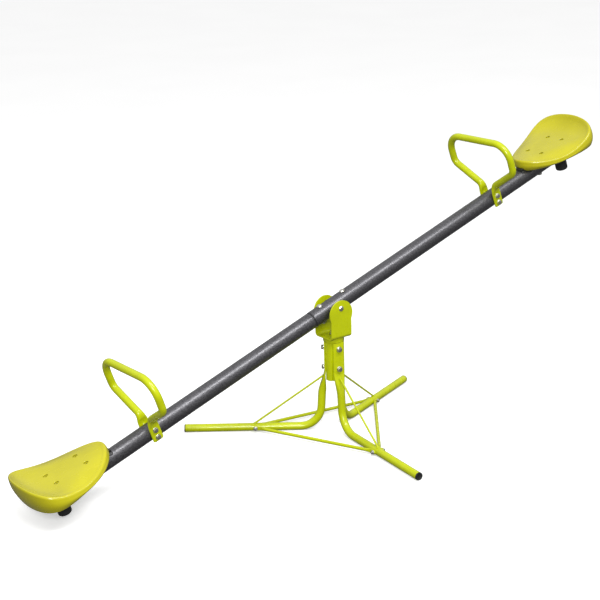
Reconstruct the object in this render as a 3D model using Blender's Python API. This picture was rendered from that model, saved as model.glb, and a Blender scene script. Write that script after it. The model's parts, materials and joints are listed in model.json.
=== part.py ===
"""Swivelling tripod seesaw: tripod stand, swivel head, two-tube beam, two handles and two seats.

World metres, +Z up, floor at z = 0. The beam runs along X with its low end at -X, the pivot axis
along Y. The stand's axis is off the origin by STAND_X, STAND_Y, so the origin is the middle of the
footprint. Parts of the beam are laid out in beam coordinates (s, y, n): s outwards from the pivot
along the beam, y across it, n square to it and upwards.
"""
import bpy
import bmesh
import math
import numpy as np
from mathutils import Vector

# ---- driving dimensions -------------------------------------------------------------------------
STAND_X, STAND_Y = 0.020, 0.082      # axis of the stand from the origin
PIVOT_Z = 0.395                      # height of the tilt axis
TILT = math.radians(19.0)            # beam angle when an end is down
GAP = 0.0003                         # clearance between pieces that touch

LEG_AZIMUTH = math.radians(141.8)    # direction of leg a; b and c follow at 120 degrees
LEG_REACH = 0.4596                   # stand axis to the tip of a leg
LEG_R, LEG_WALL = 0.0125, 0.0016     # leg tube radius and wall
LEG_FLAT_R = 0.0285                  # axis to the mid-plane of the flattened head of a leg
LEG_FLAT_T, LEG_FLAT_W = 0.0050, 0.0370
LEG_TOP, LEG_KNEE_Z = 0.2860, 0.1900
SHIN_R, SHIN_Z = 0.0385, 0.1210      # centre line where the leg has become round
FOOT_BEND_R = 0.0455                 # where the shin would meet the floor part
BRACE_R = 0.2443                     # stand axis to the brace bolts
POST_BOLT_Z = (0.2659, 0.2035)
STAY_TOP_Z = 0.1735

COLLAR_R, COLLAR_TOP = 0.0325, 0.3042
WEB_Z, PLATE = 0.3045, 0.0040        # underside and thickness of the bracket
EAR_OUT, EAR_HALF = 0.0359, 0.0380   # outer face of an ear, half width of the bracket
EAR_HEAD_R, EAR_HEAD_Z = 0.0425, 0.3775

TUBE_R, TUBE_WALL = 0.0254, 0.0020   # high-side tube, which runs through the bracket
TUBE_LOW_R = 0.0248                  # low-side tube
SPIGOT_R, SPIGOT_END = 0.0231, 0.0600
JOINT_S = 0.0847                     # end of the high-side tube on the low side of the pivot
JOINT_BOLT_S = 0.0457
BEAM_END = 1.0500
HANDLE_S, HANDLE_BOLT_N = 0.6928, 0.0116
HANDLE_R, HANDLE_FLAT_W, HANDLE_FLAT_T = 0.0110, 0.0340, 0.0050
HANDLE_Y = 0.0283                    # mid-plane of the flattened ends

SEAT_S0, SEAT_S1 = 0.8340, 1.1070    # nose and back of the seat
SEAT_FLOOR, SEAT_SKIN = 0.0515, 0.0040
SEAT_BOLT_S, SEAT_BOLT_Y = (0.9139, 1.0120), 0.0301
SADDLE_TOP, SADDLE_EDGE = 0.0430, 0.0205       # top of the saddle, lower edges of its cradle
WEDGE = ((0.822, 0.0292), (0.880, 0.0418))   # slope (s, n) that the seat's nose comes down over
WEDGE_HALF = 0.0150
BUMPER_S, BUMPER_R = 1.0134, 0.0200
BUMPER_N = -(PIVOT_Z - (BUMPER_S + BUMPER_R) * math.sin(TILT)) / math.cos(TILT)

NT, NL, NB = 20, 12, 12              # segments: beam tubes, frame tubes, fasteners
LEG_Z = LEG_R * math.cos(math.pi / NL)   # centre line of the floor parts, whose flats lie on z = 0

# ---- frames -------------------------------------------------------------------------------------
X, Y, Z = Vector((1, 0, 0)), Vector((0, 1, 0)), Vector((0, 0, 1))
STAND = Vector((STAND_X, STAND_Y, 0))
PIVOT = STAND + PIVOT_Z * Z
BEAM = Vector((math.cos(TILT), 0, math.sin(TILT)))
UP = Vector((-math.sin(TILT), 0, math.cos(TILT)))


def on_beam(side):
    """Map from beam coordinates of one side (-1 low, +1 high) to the world."""
    return lambda s, y, n: PIVOT + BEAM * float(side * s) + Y * float(y) + UP * float(n)


def on_leg(k):
    """Map from (r, t, z) of leg k to the world: r outwards, t sideways, z up."""
    a = LEG_AZIMUTH + k * 2 * math.pi / 3
    out = Vector((math.cos(a), math.sin(a), 0))
    across = Vector((-math.sin(a), math.cos(a), 0))
    return lambda r, t, z: STAND + out * float(r) + across * float(t) + Z * float(z)


# ---- mesh helpers -------------------------------------------------------------------------------
def material(name, rgb, rough, metal=0.0):
    m = bpy.data.materials.new(name)
    m.use_nodes = True
    b = m.node_tree.nodes["Principled BSDF"]
    b.inputs["Base Color"].default_value = (*rgb, 1.0)
    b.inputs["Roughness"].default_value = rough
    b.inputs["Metallic"].default_value = metal
    m.diffuse_color = (*rgb, 1.0)
    return m


def finish(name, mesh, mat, angle=35.0):
    """Put a mesh in the scene as a node, with outward normals and rounded shading."""
    bm = bmesh.new()
    bm.from_mesh(mesh)
    bmesh.ops.recalc_face_normals(bm, faces=bm.faces)
    bm.to_mesh(mesh)
    bm.free()
    mesh.materials.clear()
    mesh.materials.append(mat)
    for p in mesh.polygons:
        p.use_smooth = True
        p.material_index = 0
    mesh.set_sharp_from_angle(angle=math.radians(angle))
    ob = bpy.data.objects.new(name, mesh)
    bpy.context.collection.objects.link(ob)
    return ob


def loft(rings, closed=False):
    """Mesh through rings of equal point count; ends are capped, or joined when closed."""
    m = len(rings[0])
    verts = [tuple(p) for ring in rings for p in ring]
    faces = []
    for i in range(len(rings) if closed else len(rings) - 1):
        a, b = i * m, ((i + 1) % len(rings)) * m
        faces += [(a + k, a + (k + 1) % m, b + (k + 1) % m, b + k) for k in range(m)]
    if not closed:
        faces.append(tuple(range(m))[::-1])
        faces.append(tuple(range(len(verts) - m, len(verts))))
    mesh = bpy.data.meshes.new("loft")
    mesh.from_pydata(verts, [], faces)
    return mesh


def disc(origin, axis, radius, count, hexagon=False, phase=0.5):
    """One ring of points square to an axis: a circle, or a hexagon of that flat radius."""
    axis = Vector(axis).normalized()
    ref = Y if abs(axis.dot(Y)) < 0.9 else X
    u = (ref - ref.dot(axis) * axis).normalized()
    v = axis.cross(u)
    ring = []
    for k in range(count):
        a = 2 * math.pi * (k + phase) / count
        r = radius
        if hexagon:
            b = (a + math.pi / 6) % (math.pi / 3) - math.pi / 6
            r = radius / math.cos(b)
        ring.append(Vector(origin) + r * (math.cos(a) * u + math.sin(a) * v))
    return ring


def turned(origin, axis, stations, count=NB, closed=False, phase=0.5):
    """Mesh from stations (height, radius) or (height, flat radius, "hex") along an axis."""
    axis = Vector(axis).normalized()
    rings = []
    for st in stations:
        hexed = len(st) == 3
        rings.append(disc(Vector(origin) + st[0] * axis, axis, st[1], count, hexed, 0.0 if hexed else phase))
    return loft(rings, closed)


def boolean(mesh, others, kind):
    """Exact boolean of a mesh with each of the others in turn."""
    base = bpy.data.objects.new("base", mesh)
    bpy.context.collection.objects.link(base)
    tools = []
    for other in others:
        bm = bmesh.new()
        bm.from_mesh(other)
        bmesh.ops.recalc_face_normals(bm, faces=bm.faces)
        bm.to_mesh(other)
        bm.free()
        tool = bpy.data.objects.new("tool", other)
        bpy.context.collection.objects.link(tool)
        tool.hide_render = True
        tool.display_type = "WIRE"
        tools.append(tool)
        mod = base.modifiers.new("bool", "BOOLEAN")
        mod.operation, mod.solver, mod.object = kind, "EXACT", tool
    bm = bmesh.new()
    bm.from_mesh(mesh)
    bmesh.ops.recalc_face_normals(bm, faces=bm.faces)
    bm.to_mesh(mesh)
    bm.free()
    bpy.context.view_layer.update()
    deps = bpy.context.evaluated_depsgraph_get()
    out = bpy.data.meshes.new_from_object(base.evaluated_get(deps))
    for ob in [base] + tools:
        bpy.data.objects.remove(ob)
    return out


def rounded_path(points, radii, steps):
    """Polyline in a plane with its inner corners replaced by arcs."""
    pts = [np.array(p, float) for p in points]
    out = [pts[0]]
    for i in range(1, len(pts) - 1):
        a = (pts[i - 1] - pts[i]) / np.linalg.norm(pts[i - 1] - pts[i])
        b = (pts[i + 1] - pts[i]) / np.linalg.norm(pts[i + 1] - pts[i])
        half = math.acos(float(np.clip(a @ b, -1, 1))) / 2
        reach = radii[i - 1] / math.tan(half)
        mid = (a + b) / np.linalg.norm(a + b)
        centre = pts[i] + mid * radii[i - 1] / math.sin(half)
        u, v = pts[i] + reach * a - centre, pts[i] + reach * b - centre
        sweep = math.pi - 2 * half
        for k in range(steps[i - 1] + 1):
            f = k / steps[i - 1]
            out.append(centre + (math.sin((1 - f) * sweep) * u + math.sin(f * sweep) * v) / math.sin(sweep))
    out.append(pts[-1])
    return out


def with_stations(path, extra):
    """Insert points at the given distances along a polyline; return points and distances."""
    d = np.concatenate([[0], np.cumsum([np.linalg.norm(b - a) for a, b in zip(path, path[1:])])])
    allowed = [e for e in extra if np.min(np.abs(d - e)) > 0.002]
    at = np.array(sorted(list(d) + allowed))
    arr = np.array(path)
    return np.stack([np.interp(at, d, arr[:, 0]), np.interp(at, d, arr[:, 1])], 1), at


def stadium_rings(path, sizes, place, count=NL):
    """Rings along a plane path. sizes gives (half width across the plane, half thickness in it)."""
    rings = []
    for i, p in enumerate(path):
        t = path[min(i + 1, len(path) - 1)] - path[max(i - 1, 0)]
        t = t / np.linalg.norm(t)
        nrm = np.array([-t[1], t[0]])
        if 0 < i < len(path) - 1:
            a, b = p - path[i - 1], path[i + 1] - p
            c = float(a @ b / (np.linalg.norm(a) * np.linalg.norm(b)))
            nrm = nrm / max(math.sqrt((1 + c) / 2), 0.7)
        wide, thick = sizes[i]
        thick_k = thick / math.cos(math.pi / count) if wide > thick * 1.01 else thick
        ring = []
        for k in range(count):
            f = 2 * math.pi * (k + 0.5) / count
            w = math.copysign(max(wide - thick_k, 0), math.cos(f)) + thick_k * math.cos(f)
            q = p + nrm * thick_k * math.sin(f)
            ring.append(place(q[0], q[1], w))
        rings.append(ring)
    return rings


def ramp(x, lo, hi):
    """0 below lo, 1 above hi, smooth between."""
    t = min(max((x - lo) / (hi - lo), 0.0), 1.0)
    return t * t * (3 - 2 * t)


# ---- clean start --------------------------------------------------------------------------------
for old in list(bpy.data.objects):
    bpy.data.objects.remove(old, do_unlink=True)

GREEN = material("lime_powder_coat", (0.46, 0.60, 0.02), 0.35)
SEATC = material("yellow_green_plastic", (0.62, 0.60, 0.04), 0.30)
GREY = material("hammered_grey_paint", (0.12, 0.12, 0.13), 0.30, 0.6)
BLACK = material("black_plastic", (0.015, 0.015, 0.015), 0.5)
RUBBER = material("black_rubber", (0.02, 0.02, 0.02), 0.8)
ZINC = material("zinc_plate", (0.62, 0.62, 0.60), 0.25, 1.0)
NYLON = material("dark_nylon", (0.04, 0.04, 0.045), 0.5)


# ---- tripod stand -------------------------------------------------------------------------------
def center_post():
    """Hollow post: three flats for the legs joined by arcs, with threaded bolt holes."""
    flat, corner = LEG_FLAT_R - LEG_FLAT_T / 2 - GAP, 0.0315
    half = math.acos(flat / corner)
    angles = []
    for k in range(3):
        c = LEG_AZIMUTH + k * 2 * math.pi / 3
        nxt = c + 2 * math.pi / 3
        angles += [c + half * f for f in (-1.0, 0.0, 1.0)]
        angles += [c + half + (nxt - c - 2 * half) * f for f in (0.25, 0.5, 0.75)]
    rings = []
    for z, inner in ((0.1660, False), (0.2862, False), (0.2862, True), (0.1660, True)):
        ring = []
        for i, a in enumerate(angles):
            r = flat if i % 6 == 1 else corner
            if inner:
                r, a = 0.0170, LEG_AZIMUTH + (i - 1) * math.pi / 9
            ring.append(STAND + r * Vector((math.cos(a), math.sin(a), 0)) + z * Z)
        rings.append(ring)
    mesh = loft(rings, closed=True)
    holes = []
    for k in range(3):
        place = on_leg(k)
        out = place(1, 0, 0) - place(0, 0, 0)
        holes += [turned(place(0.010, 0, z), out, [(0, 0.0043), (0.03, 0.0043)]) for z in POST_BOLT_Z]
    return finish("center_post", boolean(mesh, holes, "DIFFERENCE"), GREEN)


def post_cap():
    """Collar on the post and leg heads, with a spigot down the post and a bore for the king pin."""
    prof = [(0.2720, 0.0063), (0.2720, 0.0164), (0.2866, 0.0164), (0.2866, COLLAR_R - 0.0010),
            (0.2878, COLLAR_R), (COLLAR_TOP - 0.0014, COLLAR_R), (COLLAR_TOP, COLLAR_R - 0.0014),
            (COLLAR_TOP, 0.0063)]
    return finish("post_cap", turned(STAND, Z, prof, 20, closed=True), GREEN)


def leg_line():
    """Centre line of a leg as (r, z), distances along it, and (half width, half thickness) there."""
    path = rounded_path([(LEG_FLAT_R, LEG_TOP), (LEG_FLAT_R, LEG_KNEE_Z), (SHIN_R, SHIN_Z),
                         (FOOT_BEND_R, LEG_Z), (LEG_REACH, LEG_Z)], [0.040, 0.100, 0.066], [1, 1, 8])
    path, dist = with_stations(path, [0.110, 0.124, 0.138, 0.150])
    sizes = []
    for d in dist:
        f = ramp(d, 0.098, 0.165)
        sizes.append((LEG_FLAT_W / 2 * (1 - f) + LEG_R * f, LEG_FLAT_T / 2 * (1 - f) + LEG_R * f))
    return path, dist, sizes


def leg(k, label):
    """Bent tube: flattened head on the post, steep shin, floor part open at the tip."""
    path, dist, sizes = leg_line()
    place = on_leg(k)
    outer = stadium_rings(path, sizes, lambda r, z, t: place(r, t, z))
    first = int(np.argmax(dist > 0.170))
    thin = [(LEG_R - LEG_WALL, LEG_R - LEG_WALL)] * (len(path) - first)
    inner = stadium_rings(path[first:], thin, lambda r, z, t: place(r, t, z))[::-1]
    mesh = loft(outer + inner)
    out, across = place(1, 0, 0) - place(0, 0, 0), place(0, 1, 0) - place(0, 0, 0)
    cut = [turned(place(0.020, 0, z), out, [(0, 0.0043), (0.02, 0.0043)]) for z in POST_BOLT_Z]
    cut.append(turned(place(BRACE_R, -0.02, LEG_Z), across, [(0, 0.0033), (0.04, 0.0033)]))
    return finish("leg_" + label, boolean(mesh, cut, "DIFFERENCE"), GREEN)


def leg_plug(k, label):
    """Black cap with a stem in the open tip of a leg."""
    place = on_leg(k)
    out = place(1, 0, 0) - place(0, 0, 0)
    stem = LEG_R - LEG_WALL - GAP
    prof = [(-0.018, stem - 0.001), (-0.016, stem), (GAP, stem), (GAP, LEG_R - 0.0001), (0.0022, LEG_R - 0.0001),
            (0.0034, LEG_R - 0.0016)]
    return finish("leg_plug_" + label, turned(place(LEG_REACH, 0, LEG_Z), out, prof, NL), BLACK)


def stay(k, label):
    """Thin rod from the outer face of a leg, below its head, down to the top of its floor part."""
    place = on_leg(k)
    path, _, sizes = leg_line()
    heights = [p[1] for p in path][::-1]
    faces = [p[0] + half[1] for p, half in zip(path, sizes)][::-1]
    z0 = STAY_TOP_Z
    r0 = float(np.interp(z0, heights, faces)) + 2 * GAP
    slope = float(np.interp(z0 + 0.003, heights, faces) - np.interp(z0 - 0.003, heights, faces)) / 0.006
    r1, z1 = BRACE_R + 0.0015, 2 * LEG_Z + GAP
    d = np.array([r1 - r0, z1 - z0])
    d = d / np.linalg.norm(d)
    top, low = [], []
    for i in range(8):
        a = 2 * math.pi * (i + 0.5) / 8
        t, q = 0.0030 * math.cos(a), 0.0030 * math.sin(a)
        off = np.array([-d[1], d[0]]) * q
        lift = (slope * off[1] - off[0]) / (d[0] - slope * d[1])
        top.append(place(r0 + off[0] + lift * d[0], t, z0 + off[1] + lift * d[1]))
        drop = -off[1] / d[1]
        low.append(place(r1 + off[0] + drop * d[0], t, z1))
    return finish("stay_" + label, loft([top, low]), GREEN)


def brace(k, label):
    """Round bar between two legs, its ends flattened, bent along the legs and drilled."""
    a, b = on_leg(k), on_leg(k + 1)
    side = LEG_R + GAP + 0.0020
    ends = []
    for place, sgn in ((a, 1), (b, -1)):
        pts = [place(BRACE_R + 0.0075, sgn * side, 0), place(BRACE_R, sgn * side, 0),
               place(BRACE_R - 0.0140, sgn * side, 0)]
        ends.append([np.array((p.x, p.y)) for p in pts])
    corners = [ends[0][0], ends[0][2], ends[1][2], ends[1][0]]
    path = rounded_path(corners, [0.020, 0.020], [3, 3])
    total = sum(np.linalg.norm(q - p) for p, q in zip(path, path[1:]))
    path, dist = with_stations(path, [0.012, 0.034, 0.044, total - 0.044, total - 0.034, total - 0.012])
    sizes = []
    for d in dist:
        f = ramp(min(d, total - d), 0.020, 0.042)
        sizes.append((0.0065 * (1 - f) + 0.0050 * f, 0.0020 * (1 - f) + 0.0050 * f))
    rings = stadium_rings(path, sizes, lambda x, y, w: Vector((x, y, LEG_Z + w)), 8)
    cut = []
    for place, sgn in ((a, 1), (b, -1)):
        axis = place(0, sgn, 0) - place(0, 0, 0)
        cut.append(turned(place(BRACE_R, sgn * (side - 0.006), LEG_Z), axis, [(0, 0.0033), (0.012, 0.0033)]))
    return finish("brace_" + label, boolean(loft(rings), cut, "DIFFERENCE"), GREEN)


def brace_bolt(k, label):
    """Bolt and nut through one leg and the brace ends on both its sides."""
    place = on_leg(k)
    head = 1 if k == 0 else -1
    axis = place(0, head, 0) - place(0, 0, 0)
    face = LEG_R + 2 * GAP + 0.0040
    prof = [(-face - 0.0060, 0.0050, "hex"), (-face, 0.0050, "hex"), (-face, 0.0030), (face, 0.0030),
            (face, 0.0066), (face + 0.0012, 0.0066), (face + 0.0012, 0.0050, "hex"), (face + 0.0050, 0.0046, "hex")]
    return finish("brace_bolt_" + label, turned(place(BRACE_R, 0, LEG_Z), axis, prof), ZINC)


def post_bolt(k, label, z, which):
    """Hexagon bolt with washer, through a leg head into the post."""
    place = on_leg(k)
    out = place(1, 0, 0) - place(0, 0, 0)
    face = LEG_FLAT_R + LEG_FLAT_T / 2 + GAP
    prof = [(0.0140, 0.0040), (face, 0.0040), (face, 0.0085), (face + 0.0015, 0.0085),
            (face + 0.0015, 0.0065, "hex"), (face + 0.0062, 0.0065, "hex"), (face + 0.0070, 0.0052)]
    name = "post_bolt_%s_%s" % (label, which)
    return finish(name, turned(place(0, 0, z), out, prof), ZINC)


center_post()
post_cap()
LABELS = ("a", "b", "c")
for k, label in enumerate(LABELS):
    leg(k, label)
    leg_plug(k, label)
    stay(k, label)
    brace(k, label + LABELS[(k + 1) % 3])
    brace_bolt(k, label)
    post_bolt(k, label, POST_BOLT_Z[0], "upper")
    post_bolt(k, label, POST_BOLT_Z[1], "lower")


# ---- swivel head --------------------------------------------------------------------------------
def king_pin():
    """Headed pin through the bracket web and the collar; the head clears the web."""
    top = WEB_Z + PLATE + GAP
    prof = [(0.2440, 0.0050), (0.2450, 0.0060), (top, 0.0060), (top, 0.0130), (top + 0.0020, 0.0130),
            (top + 0.0020, 0.0095, "hex"), (top + 0.0090, 0.0095, "hex"), (top + 0.0100, 0.0080)]
    return finish("king_pin", turned(STAND, Z, prof), ZINC)


def king_nut():
    """Lock nut under the collar's spigot, round the king pin."""
    prof = [(0.2600, 0.0063), (0.2600, 0.0090, "hex"), (0.2717, 0.0090, "hex"), (0.2717, 0.0063)]
    return finish("king_nut", turned(STAND, Z, prof, closed=True), ZINC)


def swivel_bracket():
    """U of plate: web on the collar, two ears with round heads, drilled for both pins."""
    outer = rounded_path([(-EAR_OUT, 0.46), (-EAR_OUT, WEB_Z), (EAR_OUT, WEB_Z), (EAR_OUT, 0.46)],
                         [0.0070, 0.0070], [4, 4])
    inner_y, inner_z = EAR_OUT - PLATE, WEB_Z + PLATE
    inner = rounded_path([(-inner_y, 0.46), (-inner_y, inner_z), (inner_y, inner_z), (inner_y, 0.46)],
                         [0.0030, 0.0030], [4, 4])
    section = list(outer) + list(inner)[::-1]
    rings = [[STAND + Vector((x, q[0], q[1])) for q in section] for x in (-0.06, 0.06)]
    reach = math.sqrt(EAR_HEAD_R ** 2 - EAR_HALF ** 2)
    start = math.atan2(-reach, EAR_HALF)
    outline = [(-EAR_HALF, WEB_Z - 0.01), (EAR_HALF, WEB_Z - 0.01)]
    for i in range(21):
        a = start + (math.pi - 2 * start) * i / 20
        outline.append((EAR_HEAD_R * math.cos(a), EAR_HEAD_Z + EAR_HEAD_R * math.sin(a)))
    plate = [[STAND + Vector((q[0], y, q[1])) for q in outline] for y in (-0.06, 0.06)]
    mesh = boolean(loft(rings), [loft(plate)], "INTERSECT")
    cut = [turned(PIVOT - 0.06 * Y, Y, [(0, 0.0053), (0.12, 0.0053)], 16),
           turned(STAND + 0.29 * Z, Z, [(0, 0.0063), (0.03, 0.0063)], 16)]
    return finish("swivel_bracket", boolean(mesh, cut, "DIFFERENCE"), GREEN)


def pivot_bolt():
    """Bolt along the tilt axis, head and washer on the front ear."""
    face = EAR_OUT + GAP
    prof = [(-face - 0.0080, 0.0070), (-face - 0.0072, 0.0085, "hex"), (-face - 0.0018, 0.0085, "hex"),
            (-face - 0.0018, 0.0105), (-face, 0.0105), (-face, 0.0050), (0.0485, 0.0050), (0.0495, 0.0042)]
    return finish("pivot_bolt", turned(PIVOT, Y, prof), ZINC)


def pivot_nut():
    """Nut on the back ear."""
    lo, hi = EAR_OUT + GAP, EAR_OUT + 0.0095
    prof = [(lo, 0.0053), (lo, 0.0085, "hex"), (hi, 0.0085, "hex"), (hi, 0.0053)]
    return finish("pivot_nut", turned(PIVOT, Y, prof, closed=True), ZINC)


def pivot_spacer(sign, label):
    """Ring between the beam and an ear, its inner face hollowed to sit on the tube."""
    prof = [(0.0150, 0.0053), (0.0150, 0.0120), (EAR_OUT - PLATE - GAP, 0.0120), (EAR_OUT - PLATE - GAP, 0.0053)]
    ring = turned(PIVOT, sign * Y, prof, 20, closed=True)
    tube = turned(PIVOT, BEAM, [(-0.05, TUBE_R + GAP), (0.05, TUBE_R + GAP)], NT)
    return finish("pivot_spacer_" + label, boolean(ring, [tube], "DIFFERENCE"), NYLON)


king_pin()
king_nut()
swivel_bracket()
pivot_bolt()
pivot_nut()
pivot_spacer(-1, "front")
pivot_spacer(1, "back")


# ---- beam ---------------------------------------------------------------------------------------
def cross_hole(axis, s, n, r, lo=-0.04, hi=0.04):
    """Cutter square to the beam: along Y at height n, or along the beam's up direction."""
    if axis == "y":
        return turned(PIVOT + s * BEAM + n * UP + lo * Y, Y, [(0, r), (hi - lo, r)])
    return turned(PIVOT + s * BEAM + lo * UP, UP, [(0, r), (hi - lo, r)])


def beam_tubes():
    """High-side tube through the bracket; low-side tube with a reduced end inside it."""
    bore = TUBE_R - TUBE_WALL
    prof = [(-JOINT_S, bore), (-JOINT_S, TUBE_R - 0.0006), (-JOINT_S + 0.0008, TUBE_R), (BEAM_END, TUBE_R),
            (BEAM_END, bore)]
    high = turned(PIVOT, BEAM, prof, NT, closed=True)
    step = -JOINT_S - 0.0018
    prof = [(-BEAM_END, TUBE_LOW_R - TUBE_WALL), (-BEAM_END, TUBE_LOW_R), (step - 0.0015, TUBE_LOW_R),
            (step, SPIGOT_R), (SPIGOT_END, SPIGOT_R), (SPIGOT_END, SPIGOT_R - TUBE_WALL),
            (step, SPIGOT_R - TUBE_WALL), (step - 0.0040, TUBE_LOW_R - TUBE_WALL)]
    low = turned(PIVOT, BEAM, prof, NT, closed=True)
    shared = [("y", 0, 0, 0.0053), ("n", -JOINT_BOLT_S, 0, 0.0043), ("n", JOINT_BOLT_S, 0, 0.0043)]
    for label, side, mesh in (("high", 1, high), ("low", -1, low)):
        holes = list(shared)
        holes += [("y", side * HANDLE_S, HANDLE_BOLT_N, 0.0043), ("y", side * HANDLE_S, -HANDLE_BOLT_N, 0.0043)]
        holes += [("n", side * SEAT_BOLT_S[0], 0, 0.0043), ("n", side * BUMPER_S, 0, 0.0043)]
        cut = [cross_hole(*h) for h in holes]
        finish("beam_tube_" + label, boolean(mesh, cut, "DIFFERENCE"), GREY)


def beam_plug(side, label):
    """Black plug in the outer end of a beam tube."""
    outer = TUBE_R if side > 0 else TUBE_LOW_R
    bore = outer - TUBE_WALL - GAP
    prof = [(BEAM_END - 0.0180, bore - 0.001), (BEAM_END - 0.0160, bore), (BEAM_END + GAP, bore),
            (BEAM_END + GAP, outer), (BEAM_END + 0.0030, outer), (BEAM_END + 0.0045, outer - 0.002)]
    return finish("beam_plug_" + label, turned(PIVOT, side * BEAM, prof, NT), BLACK)


def joint_bolt(side, label):
    """Domed bolt and nut through the two nested tubes beside the pivot."""
    top, low = TUBE_R + GAP, -TUBE_R - GAP
    prof = [(low - 0.0075, 0.0065, "hex"), (low, 0.0065, "hex"), (low, 0.0040), (top, 0.0040), (top, 0.0078),
            (top + 0.0015, 0.0078), (top + 0.0038, 0.0055), (top + 0.0046, 0.0020)]
    return finish("joint_bolt_" + label, turned(PIVOT + side * JOINT_BOLT_S * BEAM, UP, prof), ZINC)


def handle(side, label):
    """Closed loop of tube square to the beam, both ends flattened against the beam's sides."""
    low, knee = (HANDLE_Y, -0.0230), (HANDLE_Y, 0.0460)
    hip, shoulder = (0.1315, 0.1090), (0.1350, 0.2060)
    half = [low, knee, hip, shoulder]
    pts = half + [(-a, b) for a, b in half[::-1]]
    path = rounded_path(pts, [0.020, 0.028, 0.055, 0.055, 0.028, 0.020], [4, 4, 5, 5, 4, 4])
    total = sum(np.linalg.norm(q - p) for p, q in zip(path, path[1:]))
    path, dist = with_stations(path, [0.044, 0.052, total - 0.052, total - 0.044])
    sizes = []
    for d in dist:
        f = ramp(min(d, total - d), 0.042, 0.078)
        sizes.append((HANDLE_FLAT_W / 2 * (1 - f) + HANDLE_R * f, HANDLE_FLAT_T / 2 * (1 - f) + HANDLE_R * f))
    place = on_beam(side)
    mesh = loft(stadium_rings(path, sizes, lambda y, n, w: place(HANDLE_S + w, y, n)))
    cut = [cross_hole("y", side * HANDLE_S, n, 0.0043) for n in (HANDLE_BOLT_N, -HANDLE_BOLT_N)]
    return finish("handle_" + label, boolean(mesh, cut, "DIFFERENCE"), GREEN)


def handle_bolt(side, label, n, which):
    """Bolt and nut through both flattened ends and the beam."""
    face = HANDLE_Y + HANDLE_FLAT_T / 2 + GAP
    prof = [(-face - 0.0054, 0.0052), (-face - 0.0047, 0.0062, "hex"), (-face - 0.0012, 0.0062, "hex"),
            (-face - 0.0012, 0.0080), (-face, 0.0080), (-face, 0.0040), (face, 0.0040), (face, 0.0065, "hex"),
            (face + 0.0070, 0.0065, "hex")]
    at = PIVOT + side * HANDLE_S * BEAM + n * UP
    return finish("handle_bolt_%s_%s" % (label, which), turned(at, Y, prof), ZINC)


beam_tubes()
for side, label in ((-1, "low"), (1, "high")):
    beam_plug(side, label)
    joint_bolt(side, label)
    handle(side, label)
    handle_bolt(side, label, HANDLE_BOLT_N, "upper")
    handle_bolt(side, label, -HANDLE_BOLT_N, "lower")


# ---- seats --------------------------------------------------------------------------------------
SEAT_MID = (SEAT_S0 + SEAT_S1) / 2
SEAT_HALF = (SEAT_S1 - SEAT_S0) / 2
SEAT_WIDE = 0.1285


def seat_edge(u, inset=0.0):
    """Plan of the seat at angle u, from the nose (0) by the side to the back (pi)."""
    c = math.cos(u)
    y = math.sin(u) * (SEAT_WIDE - 0.055 * c + 0.0159 * math.cos(2 * u) - 0.0073 * math.cos(3 * u))
    s = SEAT_MID - SEAT_HALF * c
    return SEAT_MID + (s - SEAT_MID) * (1 - inset / SEAT_HALF), y * (1 - inset / SEAT_WIDE)


def seat_crest(u):
    """Height of the rim: dips beside the thighs and rises at the back."""
    t = -math.cos(u)
    return 0.0392 + 0.0175 * t + 0.0356 * t * t


def seat_top(u, rho):
    """Point of the upper surface at a fraction rho of the way from the middle to the rim."""
    s, y = seat_edge(u, 0.0057)
    t = -math.cos(u)
    rise = (max(rho - 0.42, 0) / 0.58) ** (2.3 + 0.7 * t)
    n = SEAT_FLOOR + (seat_crest(u) - SEAT_FLOOR) * rise
    return 0.968 + (s - 0.968) * rho, y * rho, n


def seat(side, label):
    """Moulded pan: dished floor, rolled rim, skirt with a notch for the beam, four bosses."""
    place = on_beam(side)
    count = 28
    angles = [2 * math.pi * (k + 0.5) / count for k in range(count)]
    rings = []
    for rho in (0.15, 0.42, 0.60, 0.75, 0.88, 0.96):
        rings.append([place(*seat_top(u, rho)) for u in angles])
    base = 0.0205
    for inset, drop in ((0.0057, 0.0), (0.0014, 0.0022), (0.0, 0.0080)):
        rings.append([place(*seat_edge(u, inset), seat_crest(u) - drop) for u in angles])
    rings.append([place(*seat_edge(u, 0.0066), base) for u in angles])
    rings.append([place(*seat_edge(u, 0.0100), base) for u in angles])
    rings.append([place(*seat_edge(u, 0.0065), seat_crest(u) - 0.0105) for u in angles])
    for rho in (0.88, 0.72, 0.42, 0.15):
        under = [seat_top(u, rho) for u in angles]
        rings.append([place(s, y, n - SEAT_SKIN) for s, y, n in under])
    mesh = loft(rings)
    spots = [(s, sgn * SEAT_BOLT_Y) for s in SEAT_BOLT_S for sgn in (-1, 1)]
    boss = [turned(place(s, y, SADDLE_TOP + GAP), UP, [(0, 0.0080), (0.0055, 0.0080)]) for s, y in spots]
    mesh = boolean(mesh, boss, "UNION")
    cut = [turned(place(0.80, 0, 0), side * BEAM, [(0, 0.0297), (0.09, 0.0297)], NT)]
    slope = [(0.80, 0.0), (0.80, WEDGE[0][1]), WEDGE[0], WEDGE[1], (WEDGE[1][0], 0.0)]
    cut.append(loft([[place(s, y, n + 2 * GAP) for s, n in slope] for y in (-WEDGE_HALF - GAP, WEDGE_HALF + GAP)]))
    for s, y in spots:
        prof = [(0, 0.0033), (SEAT_FLOOR - 0.0022 - 0.0380, 0.0033), (SEAT_FLOOR - 0.0022 - 0.0380, 0.0068),
                (0.0180, 0.0068)]
        cut.append(turned(place(s, y, 0.0380), UP, prof))
    return finish("seat_" + label, boolean(mesh, cut, "DIFFERENCE"), SEATC, 40)


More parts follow.
